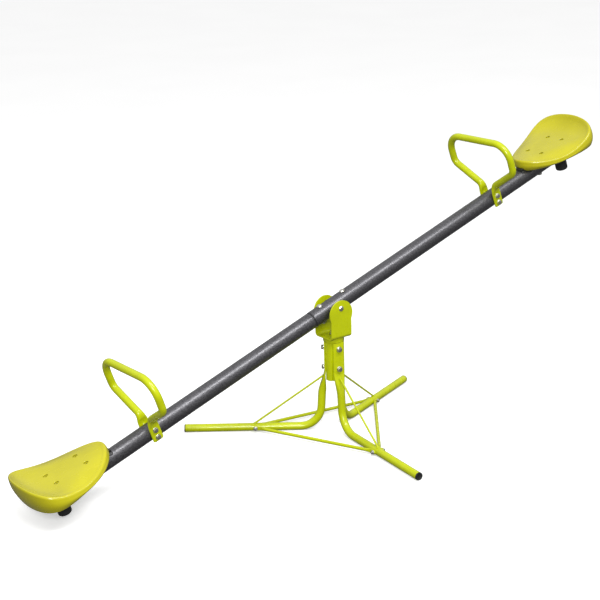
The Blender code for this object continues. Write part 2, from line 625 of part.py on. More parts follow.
def saddle(side, label):
    """Black cradle on the tube with a wedge and a top plate that carries the seat."""
    place = on_beam(side)
    pipe = turned(place(0.815, 0, 0), side * BEAM, [(0, 0.0290), (0.2215, 0.0290)], NT)
    low = SADDLE_EDGE
    trim = [[place(s, y, n) for y, n in ((-0.05, -0.05), (0.05, -0.05), (0.05, low), (-0.05, low))]
            for s in (0.80, 1.06)]
    pipe = boolean(pipe, [loft(trim)], "DIFFERENCE")
    side_view = [(WEDGE[0][0], 0.0200), *WEDGE, (1.0330, WEDGE[1][1]), (1.0330, 0.0200)]
    wedge = [[place(s, y, n) for s, n in side_view] for y in (-WEDGE_HALF, WEDGE_HALF)]
    plate = [[place(s, y, n) for s, y in ((0.888, -0.0400), (1.0375, -0.0400), (1.0375, 0.0400), (0.888, 0.0400))]
             for n in (SADDLE_TOP - 0.0040, SADDLE_TOP)]
    mesh = boolean(pipe, [loft(wedge), loft(plate)], "UNION")
    cut = [turned(place(0.79, 0, 0), side * BEAM, [(0, TUBE_R + GAP), (0.30, TUBE_R + GAP)], NT)]
    for s in (SEAT_BOLT_S[0], BUMPER_S):
        prof = [(0, 0.0043), (0.0162, 0.0043), (0.0162, 0.0085), (0.0400, 0.0085)]
        cut.append(turned(place(s, 0, 0.0200), UP, prof))
    for s in SEAT_BOLT_S:
        for sgn in (-1, 1):
            cut.append(turned(place(s, sgn * SEAT_BOLT_Y, 0.0300), UP, [(0, 0.0033), (0.02, 0.0033)]))
    return finish("saddle_" + label, boolean(mesh, cut, "DIFFERENCE"), BLACK)


def saddle_bolt(side, label):
    """Bolt down through the front of the saddle and the tube, nut under the tube."""
    place = on_beam(side)
    low = -TUBE_R - GAP
    prof = [(low - 0.0065, 0.0065, "hex"), (low, 0.0065, "hex"), (low, 0.0040), (0.0365, 0.0040),
            (0.0365, 0.0065, "hex"), (0.0415, 0.0065, "hex")]
    return finish("saddle_bolt_" + label, turned(place(SEAT_BOLT_S[0], 0, 0), UP, prof), ZINC)


def bumper(side, label):
    """Rubber buffer under the tube, hollowed to fit it, with a recess for its bolt."""
    place = on_beam(side)
    prof = [(BUMPER_N, BUMPER_R - 0.0022), (BUMPER_N + 0.0008, BUMPER_R - 0.0006), (BUMPER_N + 0.0024, BUMPER_R),
            (-0.0130, BUMPER_R), (-0.0130, 0.0043), (BUMPER_N + 0.0110, 0.0043), (BUMPER_N + 0.0110, 0.0085),
            (BUMPER_N, 0.0085)]
    body = turned(place(BUMPER_S, 0, 0), UP, prof, NT, closed=True)
    tube = turned(place(0.95, 0, 0), side * BEAM, [(0, TUBE_R + GAP), (0.12, TUBE_R + GAP)], NT)
    return finish("bumper_" + label, boolean(body, [tube], "DIFFERENCE"), RUBBER)


def bumper_bolt(side, label):
    """Bolt up through the buffer, the tube and the saddle, with its nut in the saddle's pocket."""
    place = on_beam(side)
    low = BUMPER_N + 0.0110 - GAP
    prof = [(low - 0.0055, 0.0065, "hex"), (low, 0.0065, "hex"), (low, 0.0040), (0.0365, 0.0040),
            (0.0365, 0.0065, "hex"), (0.0420, 0.0065, "hex")]
    return finish("bumper_bolt_" + label, turned(place(BUMPER_S, 0, 0), UP, prof), ZINC)


def seat_bolt(side, label, s, y, number):
    """Flat-headed bolt in a recess of the seat floor, nut under the saddle plate."""
    place = on_beam(side)
    head, low = SEAT_FLOOR - 0.0022 + GAP, SADDLE_TOP - 0.0040 - GAP
    prof = [(low - 0.0050, 0.0050, "hex"), (low, 0.0050, "hex"), (low, 0.0030), (head, 0.0030), (head, 0.0062),
            (head + 0.0012, 0.0058)]
    name = "seat_bolt_%s_%d" % (label, number)
    return finish(name, turned(place(s, y, 0), UP, prof), ZINC)


for side, label in ((-1, "low"), (1, "high")):
    seat(side, label)
    saddle(side, label)
    saddle_bolt(side, label)
    bumper(side, label)
    bumper_bolt(side, label)
    number = 1
    for s in SEAT_BOLT_S:
        for sgn in (-1, 1):
            seat_bolt(side, label, s, sgn * SEAT_BOLT_Y, number)
            number += 1
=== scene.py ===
# %% [markdown]
# # A swivelling seesaw
#
# The real object is a garden seesaw for two children. A tripod of bent tube carries a swivel head, a
# long two-part tube tilts in that head, and each end of the tube has a loop handle and a moulded seat.
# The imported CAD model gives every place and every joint. It is coarse on purpose, so this script puts
# a finely made piece where each CAD node is, and gives each piece its finish.
#
# Nearly every piece is a grid of points worked out with numpy: rows run along the piece and columns
# run round it. The mesh is the grid with its neighbours joined, so the formula is the model.

# %% Load the frame
import json
import math

import bmesh
import bpy
import numpy as np
from mathutils import Matrix, Vector


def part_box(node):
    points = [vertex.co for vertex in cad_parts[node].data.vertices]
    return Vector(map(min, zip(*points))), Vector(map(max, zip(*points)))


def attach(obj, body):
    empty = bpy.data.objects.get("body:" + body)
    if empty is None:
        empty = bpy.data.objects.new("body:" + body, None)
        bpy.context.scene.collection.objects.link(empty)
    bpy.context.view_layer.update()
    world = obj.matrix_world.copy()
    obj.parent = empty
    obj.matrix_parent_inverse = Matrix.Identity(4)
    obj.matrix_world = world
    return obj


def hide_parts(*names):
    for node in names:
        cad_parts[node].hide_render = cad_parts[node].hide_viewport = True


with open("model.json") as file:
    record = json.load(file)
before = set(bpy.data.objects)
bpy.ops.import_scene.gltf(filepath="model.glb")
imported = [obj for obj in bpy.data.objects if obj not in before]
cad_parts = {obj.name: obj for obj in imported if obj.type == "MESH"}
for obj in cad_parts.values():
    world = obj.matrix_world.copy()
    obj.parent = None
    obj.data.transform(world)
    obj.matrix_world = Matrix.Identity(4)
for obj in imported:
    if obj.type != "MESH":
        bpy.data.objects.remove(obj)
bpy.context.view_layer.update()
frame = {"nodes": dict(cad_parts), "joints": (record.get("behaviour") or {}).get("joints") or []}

# %% [markdown]
# ## Two sets of coordinates
#
# Parts of the beam are easiest to describe along the beam: s outwards from the pivot, y across it and
# n square to it, upwards. Parts of a leg are easiest to describe outwards from the stand's axis: r out,
# t sideways, z up. Both maps are built from the frame. The tilt joint runs from one end down to the
# other end down, so the beam leans by half of its range, and each leg points at its own end plug.

# %% Frames of the beam and of the legs
joints = {j["name"]: j for j in frame["joints"]}
PIVOT = np.array(joints["tilt"]["pos_m"])
AXLE = np.array([PIVOT[0], PIVOT[1], 0.0])
TILT = math.radians(joints["tilt"]["range_deg"][1] / 2)
ALONG = np.array([math.cos(TILT), 0.0, math.sin(TILT)])
ACROSS = np.array([0.0, 1.0, 0.0])
UPRIGHT = np.array([-math.sin(TILT), 0.0, math.cos(TILT)])
UP = np.array([0.0, 0.0, 1.0])
SIDES = {"low": -1, "high": 1}
LEGS = ("a", "b", "c")


def node_points(node):
    """Vertices of a CAD node as an array."""
    co = np.zeros(len(frame["nodes"][node].data.vertices) * 3, np.float32)
    frame["nodes"][node].data.vertices.foreach_get("co", co)
    return co.reshape(-1, 3).astype(float)


def along_beam(side):
    """Map of (s, y, n) on one side of the pivot to the world: pivot + side*s*along + y*across + n*upright."""
    def place(s, y, n):
        s, y, n = np.broadcast_arrays(np.asarray(s, float), y, n)
        return PIVOT + side * s[..., None] * ALONG + y[..., None] * ACROSS + n[..., None] * UPRIGHT
    return place


def leg_directions(label):
    """Outward and sideways unit vectors of a leg, from the middle of its end plug."""
    out = node_points("leg_plug_" + label).mean(0) - AXLE
    out[2] = 0.0
    out /= np.linalg.norm(out)
    return out, np.cross(UP, out)


def along_leg(label):
    """Map of (r, t, z) of a leg to the world: axle + r*out + t*sideways + z*up."""
    out, sideways = leg_directions(label)

    def place(r, t, z):
        r, t, z = np.broadcast_arrays(np.asarray(r, float), t, z)
        return AXLE + r[..., None] * out + t[..., None] * sideways + z[..., None] * UP
    return place


def beam_span(node, side):
    """Lowest and highest (s, y, n) of a node, and its largest distance from the beam's axis."""
    d = node_points(node) - PIVOT
    co = np.stack([side * (d @ ALONG), d @ ACROSS, d @ UPRIGHT], 1)
    return co.min(0), co.max(0), float(np.hypot(co[:, 1], co[:, 2]).max())


def leg_span(node, label):
    """Lowest and highest (r, t, z) of a node of a leg."""
    out, sideways = leg_directions(label)
    d = node_points(node) - AXLE
    co = np.stack([d @ out, d @ sideways, d[:, 2]], 1)
    return co.min(0), co.max(0)


print("tilt", round(math.degrees(TILT), 2), "pivot", PIVOT)

# %% [markdown]
# ## Camera
#
# The camera stands in front and to the left, a little above the raised seat, with a long lens. A long
# lens from far away keeps both ends of the beam nearly the same size. It is turned by its yaw, then
# tipped down by its pitch, and rolled a little, as a hand-held camera is.

# %% Camera
CAMERA_FROM = np.array([-2.6699, -3.3777, 1.7334]) + AXLE
CAMERA_YAW, CAMERA_PITCH, CAMERA_ROLL = math.radians(37.022), math.radians(17.018), math.radians(-1.593)


def camera_matrix(place, yaw, pitch, roll):
    """Camera at a place: forward is yaw from +Y to +X and pitch below level, then rolled about forward."""
    forward = np.array([math.sin(yaw) * math.cos(pitch), math.cos(yaw) * math.cos(pitch), -math.sin(pitch)])
    right = np.array([math.cos(yaw), -math.sin(yaw), 0.0])
    above = np.cross(right, forward)
    r = math.cos(roll) * right + math.sin(roll) * above
    u = math.cos(roll) * above - math.sin(roll) * right
    return Matrix([[*row, p] for row, p in zip(np.stack([r, u, -forward], 1), place)] + [[0, 0, 0, 1]])


lens = bpy.data.cameras.new("camera")
lens.sensor_width = 36.0
lens.lens = 90.43
lens.clip_end = 300.0
camera = bpy.data.objects.new("camera", lens)
camera.matrix_world = camera_matrix(CAMERA_FROM, CAMERA_YAW, CAMERA_PITCH, CAMERA_ROLL)
bpy.context.scene.collection.objects.link(camera)
bpy.context.scene.camera = camera
print("camera", [round(v, 3) for v in camera.location], "lens", lens.lens)

# %% [markdown]
# ## Finishes
#
# A finish is built from the same few parts each time: a noise in the piece's own coordinates, a colour
# that moves a little with it, a roughness that moves with it, and a bump. What differs is the scale of
# the noise, which is the size of the real texture. Powder coat has orange peel a couple of millimetres
# across, hammered paint has dents of about three, and moulded plastic has a grain under one.

# %% Node helpers
def new_finish(name, **sockets):
    """A material with these Principled sockets; returns the material, its shader and its coordinates."""
    mat = bpy.data.materials.new(name)
    mat.use_nodes = True
    shader = mat.node_tree.nodes["Principled BSDF"]
    for key, value in sockets.items():
        shader.inputs[key.replace("_", " ")].default_value = value
    coords = mat.node_tree.nodes.new("ShaderNodeTexCoord").outputs["Object"]
    return mat, shader, coords


def node(mat, kind, inputs=(), **settings):
    """Add a node; inputs maps a socket to a value or to another node's output."""
    made = mat.node_tree.nodes.new(kind)
    for key, value in settings.items():
        setattr(made, key, value)
    for key, value in dict(inputs).items():
        if isinstance(value, bpy.types.NodeSocket):
            mat.node_tree.links.new(value, made.inputs[key])
        else:
            made.inputs[key].default_value = value
    return made


def noise(mat, coords, scale, detail=2.0, roughness=0.5, distortion=0.0):
    """Noise of about 1/scale metres across."""
    values = {"Vector": coords, "Scale": scale, "Detail": detail, "Roughness": roughness}
    return node(mat, "ShaderNodeTexNoise", {**values, "Distortion": distortion}).outputs["Fac"]


def blend_colour(mat, factor, low, high, start=0.35, end=0.65):
    """Colour that goes from low to high as the factor goes from start to end."""
    ramp = node(mat, "ShaderNodeValToRGB", {"Fac": factor})
    ramp.color_ramp.elements[0].position, ramp.color_ramp.elements[1].position = start, end
    ramp.color_ramp.elements[0].color, ramp.color_ramp.elements[1].color = (*low, 1), (*high, 1)
    return ramp.outputs["Color"]


def scale_to(mat, factor, low, high, start=0.3, end=0.7):
    """Number that goes from low to high as the factor goes from start to end."""
    values = {"Value": factor, "From Min": start, "From Max": end, "To Min": low, "To Max": high}
    return node(mat, "ShaderNodeMapRange", values).outputs["Result"]


def add_bump(mat, shader, height, distance, strength=1.0, over=None):
    """Bump of this depth in metres, on top of another bump if there is one."""
    values = {"Height": height, "Distance": distance, "Strength": strength}
    if over is not None:
        values["Normal"] = over
    normal = node(mat, "ShaderNodeBump", values).outputs["Normal"]
    mat.node_tree.links.new(normal, shader.inputs["Normal"])
    return normal


FINISH = {}

# %% Powder coat
def lime_powder_coat():
    """Glossy lime powder coat: orange peel, slight clouding, and dust that dulls the gloss in patches."""
    gloss = {"Specular_IOR_Level": 0.35, "Coat_Weight": 0.3, "Coat_Roughness": 0.08}
    mat, shader, coords = new_finish("lime_powder_coat", **gloss)
    cloud = noise(mat, coords, 14.0, 3.0)
    colour = blend_colour(mat, cloud, (0.46, 0.52, 0.001), (0.52, 0.585, 0.001))
    mat.node_tree.links.new(colour, shader.inputs["Base Color"])
    dull = noise(mat, coords, 60.0, 4.0, 0.6)
    mat.node_tree.links.new(scale_to(mat, dull, 0.22, 0.36), shader.inputs["Roughness"])
    peel = noise(mat, coords, 420.0, 1.5)
    soft = add_bump(mat, shader, peel, 0.00016, 0.55)
    add_bump(mat, shader, noise(mat, coords, 90.0), 0.0005, 0.25, soft)
    return mat


FINISH["lime_powder_coat"] = lime_powder_coat()

# %% Seat plastic
def seat_plastic(name, dark, pale):
    """Moulded plastic: nearly even colour, faint flow marks, satin grain and fine handling scratches."""
    mat, shader, coords = new_finish(name, Specular_IOR_Level=0.45, Coat_Weight=0.2, Coat_Roughness=0.06)
    flow = noise(mat, coords, 9.0, 2.0, 0.5, 1.2)
    colour = blend_colour(mat, flow, dark, pale)
    mat.node_tree.links.new(colour, shader.inputs["Base Color"])
    scuff = noise(mat, coords, 45.0, 5.0, 0.65)
    mat.node_tree.links.new(scale_to(mat, scuff, 0.20, 0.30), shader.inputs["Roughness"])
    grain = add_bump(mat, shader, noise(mat, coords, 1300.0, 1.0), 0.00002, 0.35)
    add_bump(mat, shader, noise(mat, coords, 35.0), 0.0005, 0.10, grain)
    return mat


# The second copy of the seat plastic is nearly black and is painted shade for the insides of the bolt
# recesses.
for name, dark, pale in (("yellow_green_plastic", (0.47, 0.432, 0.008), (0.51, 0.470, 0.010)),
                         ("recess_shade_plastic", (0.050, 0.040, 0.002), (0.075, 0.060, 0.003))):
    FINISH[name] = seat_plastic(name, dark, pale)

# %% Hammered paint
def hammered_grey_paint():
    """Hammered metallic paint: shallow dents with bright floors and darker rims, in a grey metal flake."""
    lacquer = {"Coat_Weight": 0.2, "Coat_Roughness": 0.15}
    mat, shader, coords = new_finish("hammered_grey_paint", Metallic=0.85, **lacquer)
    stretched = node(mat, "ShaderNodeMapping", {"Vector": coords, "Scale": (0.7, 1.0, 1.0)}).outputs["Vector"]
    dents = node(mat, "ShaderNodeTexVoronoi", {"Vector": stretched, "Scale": 330.0, "Randomness": 1.0})
    dents.feature = "SMOOTH_F1"
    flake = noise(mat, coords, 900.0, 2.0)
    mottle = noise(mat, stretched, 300.0, 3.0, 0.6)
    colour = blend_colour(mat, mottle, (0.078, 0.077, 0.084), (0.180, 0.178, 0.189), 0.34, 0.70)
    mat.node_tree.links.new(colour, shader.inputs["Base Color"])
    mat.node_tree.links.new(scale_to(mat, flake, 0.30, 0.50), shader.inputs["Roughness"])
    rim = add_bump(mat, shader, dents.outputs["Distance"], 0.0004, 0.6)
    add_bump(mat, shader, mottle, 0.0003, 0.5, rim)
    return mat


FINISH["hammered_grey_paint"] = hammered_grey_paint()

# %% Black plastic, rubber and nylon
def dark_moulding(name, low, high, rough_low, rough_high, grain_scale, grain_depth):
    """Dark moulded part: dust lightens it in patches, and a fine grain breaks up its gloss."""
    mat, shader, coords = new_finish(name)
    dust = noise(mat, coords, 55.0, 4.0, 0.6)
    mat.node_tree.links.new(blend_colour(mat, dust, low, high, 0.4, 0.75), shader.inputs["Base Color"])
    mat.node_tree.links.new(scale_to(mat, dust, rough_low, rough_high), shader.inputs["Roughness"])
    add_bump(mat, shader, noise(mat, coords, grain_scale, 2.0), grain_depth, 0.6)
    return mat


NYLON_LOW, NYLON_HIGH = (0.020, 0.020, 0.023), (0.034, 0.034, 0.037)
for name, *look in (("black_plastic", (0.010,) * 3, (0.022,) * 3, 0.36, 0.52, 900.0, 0.00008),
                    ("black_rubber", (0.011,) * 3, (0.028,) * 3, 0.62, 0.82, 500.0, 0.00015),
                    ("dark_nylon", NYLON_LOW, NYLON_HIGH, 0.42, 0.58, 700.0, 0.0001)):
    FINISH[name] = dark_moulding(name, *look)

# %% Zinc plate
def zinc_plate():
    """Bright zinc: pale metal with a faint straw and blue tint, fine turning marks and dull spots."""
    mat, shader, coords = new_finish("zinc_plate", Metallic=1.0)
    tint = noise(mat, coords, 120.0, 3.0)
    colour = blend_colour(mat, tint, (0.62, 0.60, 0.52), (0.78, 0.79, 0.80))
    mat.node_tree.links.new(colour, shader.inputs["Base Color"])
    spots = noise(mat, coords, 400.0, 4.0, 0.7)
    mat.node_tree.links.new(scale_to(mat, spots, 0.18, 0.42), shader.inputs["Roughness"])
    add_bump(mat, shader, noise(mat, coords, 1500.0, 1.0), 0.00004, 0.5)
    return mat


FINISH["zinc_plate"] = zinc_plate()
print("finishes", sorted(FINISH))

# %% [markdown]
# ## From a grid to a piece
#
# A shell is a grid of points with rows and columns. Joining each point to its neighbours gives four-sided
# faces; a grid that goes round closes its last column onto its first. The open ends get a lid, or run
# to a point. The sign of the volume tells whether the faces look outwards, so a mirrored copy is turned
# the right way by one test instead of by care.

# %% Shells and pieces
CREASE = math.radians(35)


def shell(points, ring=False, lids=True):
    """Mesh of a grid (rows, columns, 3) that goes round its columns; ring joins the last row to the first."""
    rows, cols = points.shape[:2]
    r = np.arange(rows if ring else rows - 1)[:, None]
    c = np.arange(cols)[None, :]
    nxt_r, nxt_c = (r + 1) % rows, (c + 1) % cols
    quads = np.stack([r * cols + c, r * cols + nxt_c, nxt_r * cols + nxt_c, nxt_r * cols + c], -1)
    quads = quads.reshape(-1, 4)
    verts = points.reshape(-1, 3)
    faces = quads.tolist()
    if not ring and lids:
        faces.append(list(range(cols))[::-1])
        faces.append(list(range((rows - 1) * cols, rows * cols)))
    middle = verts.mean(0)
    a, b, d, e = (verts[quads[:, i]] - middle for i in range(4))
    volume = (np.cross(a, b) * d).sum() + (np.cross(a, d) * e).sum()
    if not ring and lids:
        for row in (points[0][::-1], points[-1]):
            first, q = row[0] - middle, row - middle
            volume += (np.cross(q[1:-1], q[2:]) @ first).sum()
    if volume < 0:
        faces = [f[::-1] for f in faces]
    return verts, faces


def make_piece(name, shells, finish, body, stands_for=()):
    """One object from shells: poles merged, edges over the crease angle kept crisp, riding on its body.
    """
    verts, faces, start = [], [], 0
    for v, f in shells:
        verts.append(v)
        faces += [[i + start for i in face] for face in f]
        start += len(v)
    mesh = bpy.data.meshes.new(name)
    mesh.from_pydata(np.concatenate(verts).tolist(), [], faces)
    bm = bmesh.new()
    bm.from_mesh(mesh)
    bmesh.ops.remove_doubles(bm, verts=bm.verts, dist=2e-6)
    bmesh.ops.dissolve_degenerate(bm, edges=bm.edges, dist=1e-7)
    bm.to_mesh(mesh)
    bm.free()
    mesh.materials.append(FINISH[finish])
    mesh.shade_smooth()
    mesh.set_sharp_from_angle(angle=CREASE)
    piece = bpy.data.objects.new(name, mesh)
    bpy.context.scene.collection.objects.link(piece)
    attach(piece, body)
    if stands_for:
        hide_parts(*stands_for)
    mesh.calc_loop_triangles()
    print(f"{name}: {len(mesh.loop_triangles)} triangles")
    return piece


# %% [markdown]
# ## Turned shapes
#
# Bolts, nuts, washers, plugs and collars are all turned: a profile of heights and radii spun about an
# axis. A hexagon is the same thing with a radius that depends on the angle, and the round chamfer on a
# bolt head is the smaller of the hexagon and a cone. A thread is a groove whose depth depends on the
# height minus the angle, which is what makes it climb.

# %% Turned shapes
def round_angles(count):
    return np.arange(count) * 2 * math.pi / count


def turned(origin, axis, heights, radii, count=48):
    """Grid origin + h*axis + r*(cos a*u + sin a*v), with one radius per height or per height and angle."""
    axis = np.asarray(axis, float) / np.linalg.norm(axis)
    ref = ACROSS if abs(axis @ ACROSS) < 0.9 else np.array([1.0, 0.0, 0.0])
    u = ref - (ref @ axis) * axis
    u /= np.linalg.norm(u)
    v = np.cross(axis, u)
    a = round_angles(count)
    radii = np.asarray(radii, float)
    radii = radii if radii.ndim == 2 else np.repeat(radii[:, None], count, 1)
    heights = np.asarray(heights, float)
    heights = heights if heights.ndim == 2 else np.repeat(heights[:, None], count, 1)
    spun = np.cos(a)[:, None] * u + np.sin(a)[:, None] * v
    return np.asarray(origin) + heights[..., None] * axis + radii[..., None] * spun


def profile(*points):
    """Heights and radii of a profile, with each inner corner that has a third number rounded to it."""
    pts = [np.array(p[:2], float) for p in points]
    out = [pts[0]]
    for i in range(1, len(points) - 1):
        if len(points[i]) < 3:
            out.append(pts[i])
            continue
        out += list(arc_corner(pts[i - 1], pts[i], pts[i + 1], points[i][2], 6))
    out.append(pts[-1])
    h, r = np.array(out).T
    return h, np.maximum(r, 0.0)


def arc_corner(before, corner, after, radius, steps):
    """Points of the arc of this radius that rounds a corner between two straight lines."""
    a = (before - corner) / np.linalg.norm(before - corner)
    b = (after - corner) / np.linalg.norm(after - corner)
    half = math.acos(float(np.clip(a @ b, -1, 1))) / 2
    reach = radius / math.tan(half)
    centre = corner + (a + b) / np.linalg.norm(a + b) * radius / math.sin(half)
    u, v = corner + reach * a - centre, corner + reach * b - centre
    sweep = math.pi - 2 * half
    f = np.linspace(0, 1, steps + 1)[:, None]
    return centre + (np.sin((1 - f) * sweep) * u + np.sin(f * sweep) * v) / math.sin(sweep)


def hexagon(flat, count):
    """Radius of a hexagon at each angle: flat radius over the cosine of the angle from the nearest flat."""
    a = round_angles(count)
    return flat / np.cos((a + math.pi / 6) % (math.pi / 3) - math.pi / 6)


BOLT_COLS = 72


def hex_prism(origin, axis, low, high, flat, bore=0.0, chamfer_low=False):
    """Bolt head or nut: hexagon cut by a cone of 30 degrees at the top, and at the bottom if asked."""
    corner = flat / math.cos(math.pi / 6)
    drop = (corner - flat * 0.97) * math.tan(math.radians(30))
    f = np.linspace(0, 1, 7)
    h = high - drop * (1 - f)
    limit = corner - (corner - flat * 0.97) * f
    if chamfer_low:
        h = np.concatenate([low + drop * f, h])
        limit = np.concatenate([limit[::-1], limit])
    else:
        h = np.concatenate([[low], h])
        limit = np.concatenate([[corner], limit])
    radii = np.minimum(hexagon(flat, BOLT_COLS)[None, :], limit[:, None])
    inner = np.full((1, BOLT_COLS), bore)
    radii = np.concatenate([inner, radii, inner])
    h = np.concatenate([[low], h, [high]])
    return shell(turned(origin, axis, h, radii, BOLT_COLS), ring=bore > 0)


def washer(origin, axis, low, high, radius, bore):
    """Flat ring with its outer edges broken."""
    e = min(0.0003, (high - low) / 3)
    h, r = profile((low, bore), (low, radius - e), (low + e, radius), (high - e, radius), (high, radius - e),
                   (high, bore))
    return shell(turned(origin, axis, h, r, BOLT_COLS), ring=True)


def threaded_rod(origin, axis, low, high, radius, thread_from, pitch=0.00125):
    """Shank that is plain up to thread_from and threaded to its chamfered end."""
    steps = np.arange(thread_from, high - 0.0008, pitch / 8)
    h = np.concatenate([[low, thread_from - 0.0004], steps, [high - 0.0008, high]])
    turn = h[:, None] / pitch - np.arange(BOLT_COLS)[None, :] / BOLT_COLS
    groove = 0.5 - 0.5 * np.cos(2 * math.pi * turn)
    depth = np.where(h[:, None] >= thread_from, 0.0006, 0.0)
    radii = radius - depth * groove
    radii[-1] = radius - 0.0009
    ends = np.zeros((1, BOLT_COLS))
    radii = np.concatenate([ends, radii, ends])
    return shell(turned(origin, axis, np.concatenate([[low], h, [high]]), radii, BOLT_COLS))


def hex_bolt(origin, axis, face, head, flat, washer_r, washer_t, shank_r, end, nut=None, thread=0.012):
    """Bolt whose washer lies on face and whose head is beyond it, against the axis direction.

    nut is (face of the nut's washer, nut height, flat) for a nut on the far side, or None.
    """
    axis = np.asarray(axis, float)
    shells = [washer(origin, axis, face - washer_t, face, washer_r, shank_r)]
    top = face - washer_t
    shells.append(hex_prism(origin, -axis, -top, -top + head, flat))
    shells.append(threaded_rod(origin, axis, top - 0.0005, end, shank_r, end - thread))
    if nut:
        nut_face, nut_height, nut_flat = nut
        shells.append(washer(origin, axis, nut_face, nut_face + washer_t, washer_r, shank_r))
        low = nut_face + washer_t
        shells.append(hex_prism(origin, axis, low, low + nut_height, nut_flat, shank_r - 0.0004, True))
    return shells


print("hexagon across flats and corners", 2 * 0.0065, round(2 * hexagon(0.0065, 12).max(), 4))

# %% [markdown]
# ## Bent tube
#
# Tubes are bent on round formers, so their centre line is straight runs joined by arcs. The line is
# laid out as corner points with a bend radius each, then cut into even steps. The section starts as
# a flat stadium where the tube is pressed flat for a bolt, and grows round away from it. The pressed
# tube keeps its girth, so it is wider where it is flat.

# %% Paths and sweeps
def bent_line(corners, radii, step):
    """Centre line through corners with arcs of the given radii, as points at an even step."""
    pts = [np.array(p, float) for p in corners]
    line = [pts[0][None]]
    for i in range(1, len(pts) - 1):
        line.append(arc_corner(pts[i - 1], pts[i], pts[i + 1], radii[i - 1], 48))
    line.append(pts[-1][None])
    line = np.concatenate(line)
    d = np.concatenate([[0], np.cumsum(np.linalg.norm(np.diff(line, axis=0), axis=1))])
    at = np.linspace(0, d[-1], int(d[-1] / step) + 1)
    return np.stack([np.interp(at, d, line[:, 0]), np.interp(at, d, line[:, 1])], 1), at


def smooth_step(x, low, high):
    """0 below low, 1 above high, with a soft start and end between."""
    t = np.clip((x - low) / (high - low), 0, 1)
    return t * t * (3 - 2 * t)


def sweep(line, wide, thick, place, cols=48):
    """Grid of stadium sections along a plane line.

    A section is a circle of radius thick, pulled apart sideways until it is wide: sideways offset
    sign(cos a)*(wide - thick) + thick*cos a, and offset thick*sin a along the line's normal.
    """
    tangent = np.gradient(line, axis=0)
    tangent /= np.linalg.norm(tangent, axis=1)[:, None]
    normal = np.stack([-tangent[:, 1], tangent[:, 0]], 1)
    a = (np.arange(cols) + 0.5) * 2 * math.pi / cols
    wide, thick = np.broadcast_to(wide, len(line)), np.broadcast_to(thick, len(line))
    side = np.sign(np.cos(a))[None, :] * (wide - thick)[:, None] + thick[:, None] * np.cos(a)[None, :]
    lift = thick[:, None] * np.sin(a)[None, :]
    q = line[:, None, :] + normal[:, None, :] * lift[..., None]
    return place(q[..., 0], q[..., 1], side)


def rounded_ends(d, total, radius):
    """Share of full size near both ends of a rod, so that its ends are domed: sqrt(1 - (1 - d/radius)^2)."""
    e = np.clip(np.minimum(d, total - d) / radius, 0, 1)
    return np.sqrt(np.clip(1 - (1 - e) ** 2, 0, 1))


def weld_bead(centre, axis, ring_r, bead_r, ripples=14, squash=0.7):
    """Bead of weld round a rod: a ring of round section whose thickness ripples along it."""
    a = round_angles(96)
    b = round_angles(14)
    axis = np.asarray(axis, float) / np.linalg.norm(axis)
    ref = UP if abs(axis @ UP) < 0.9 else ACROSS
    u = np.cross(axis, ref)
    u /= np.linalg.norm(u)
    v = np.cross(axis, u)
    out = np.cos(a)[:, None] * u + np.sin(a)[:, None] * v
    size = bead_r * (1 + 0.12 * np.cos(ripples * a) + 0.06 * np.cos(5 * a + 1.0))
    grid = (np.asarray(centre) + ring_r * out)[:, None, :]
    grid = grid + (size[:, None] * np.cos(b))[..., None] * out[:, None, :]
    grid = grid + (squash * size[:, None] * np.sin(b))[..., None] * axis
    return shell(grid, ring=True)


# %% [markdown]
# ## Legs of the stand
#
# Each leg is one length of steel tube. Its head is pressed flat and bolted to the post, it bends out at
# the knee, and at the floor it bends again and runs out level. One line of (r, z) points and a
# size that grows from flat to round give the whole leg. The bore is the same line with a smaller radius,
# walked back from the open tip, so the wall has its real thickness at the end.

# %% Legs
LEG_WALL = 0.0016
LEG_FLAT = (0.0185, 0.0025)
LEG_KNEE, LEG_SHIN = 0.190, (0.0385, 0.121)
LEG_FLOOR_BEND = 0.0455
LEG_BEND_RADII = (0.040, 0.100, 0.066)
LEG_GROWS, LEG_BORE_FROM = (0.098, 0.165), 0.175
plug_low, plug_high = leg_span("leg_plug_a", "a")
leg_radius = (plug_high[1] - plug_low[1]) / 2 + 0.0001


def leg_shape(label):
    """Centre line of a leg as (r, z) points, distance along it, and half width and half thickness there."""
    low, high = leg_span("leg_" + label, label)
    head_r = low[0] + LEG_FLAT[1]
    corners = [(head_r, high[2]), (head_r, LEG_KNEE), LEG_SHIN, (LEG_FLOOR_BEND, leg_radius),
               (high[0], leg_radius)]
    line, d = bent_line(corners, LEG_BEND_RADII, 0.0015)
    grown = smooth_step(d, *LEG_GROWS)
    wide = LEG_FLAT[0] * (1 - grown) + leg_radius * grown
    thick = LEG_FLAT[1] * (1 - grown) + leg_radius * grown
    trim = 1 - 0.12 * (1 - np.clip(d / 0.0012, 0, 1)) ** 2
    return line, d, wide * trim, thick * trim


def make_leg(label):
    """Outside of the tube, then its bore walked back from the tip to where the tube is round."""
    line, d, wide, thick = leg_shape(label)
    place = along_leg(label)

    def put(r, z, t):
        return place(r, t, z)

    bore = leg_radius - LEG_WALL
    tube = [sweep(line, wide, thick, put), sweep(line[d > LEG_BORE_FROM], bore, bore, put)[::-1]]
    return make_piece("steel_leg_" + label, [shell(np.concatenate(tube))], "lime_powder_coat", "stand",
                      ["leg_" + label])


for label in LEGS:
    make_leg(label)

# %% [markdown]
# ## Caps on the legs
#
# A black cap is pushed into each open tip. It is a turned part: a stem with a tight fit, a rim as wide
# as the tube, and a shallow dish in the face, which is what the moulding leaves.

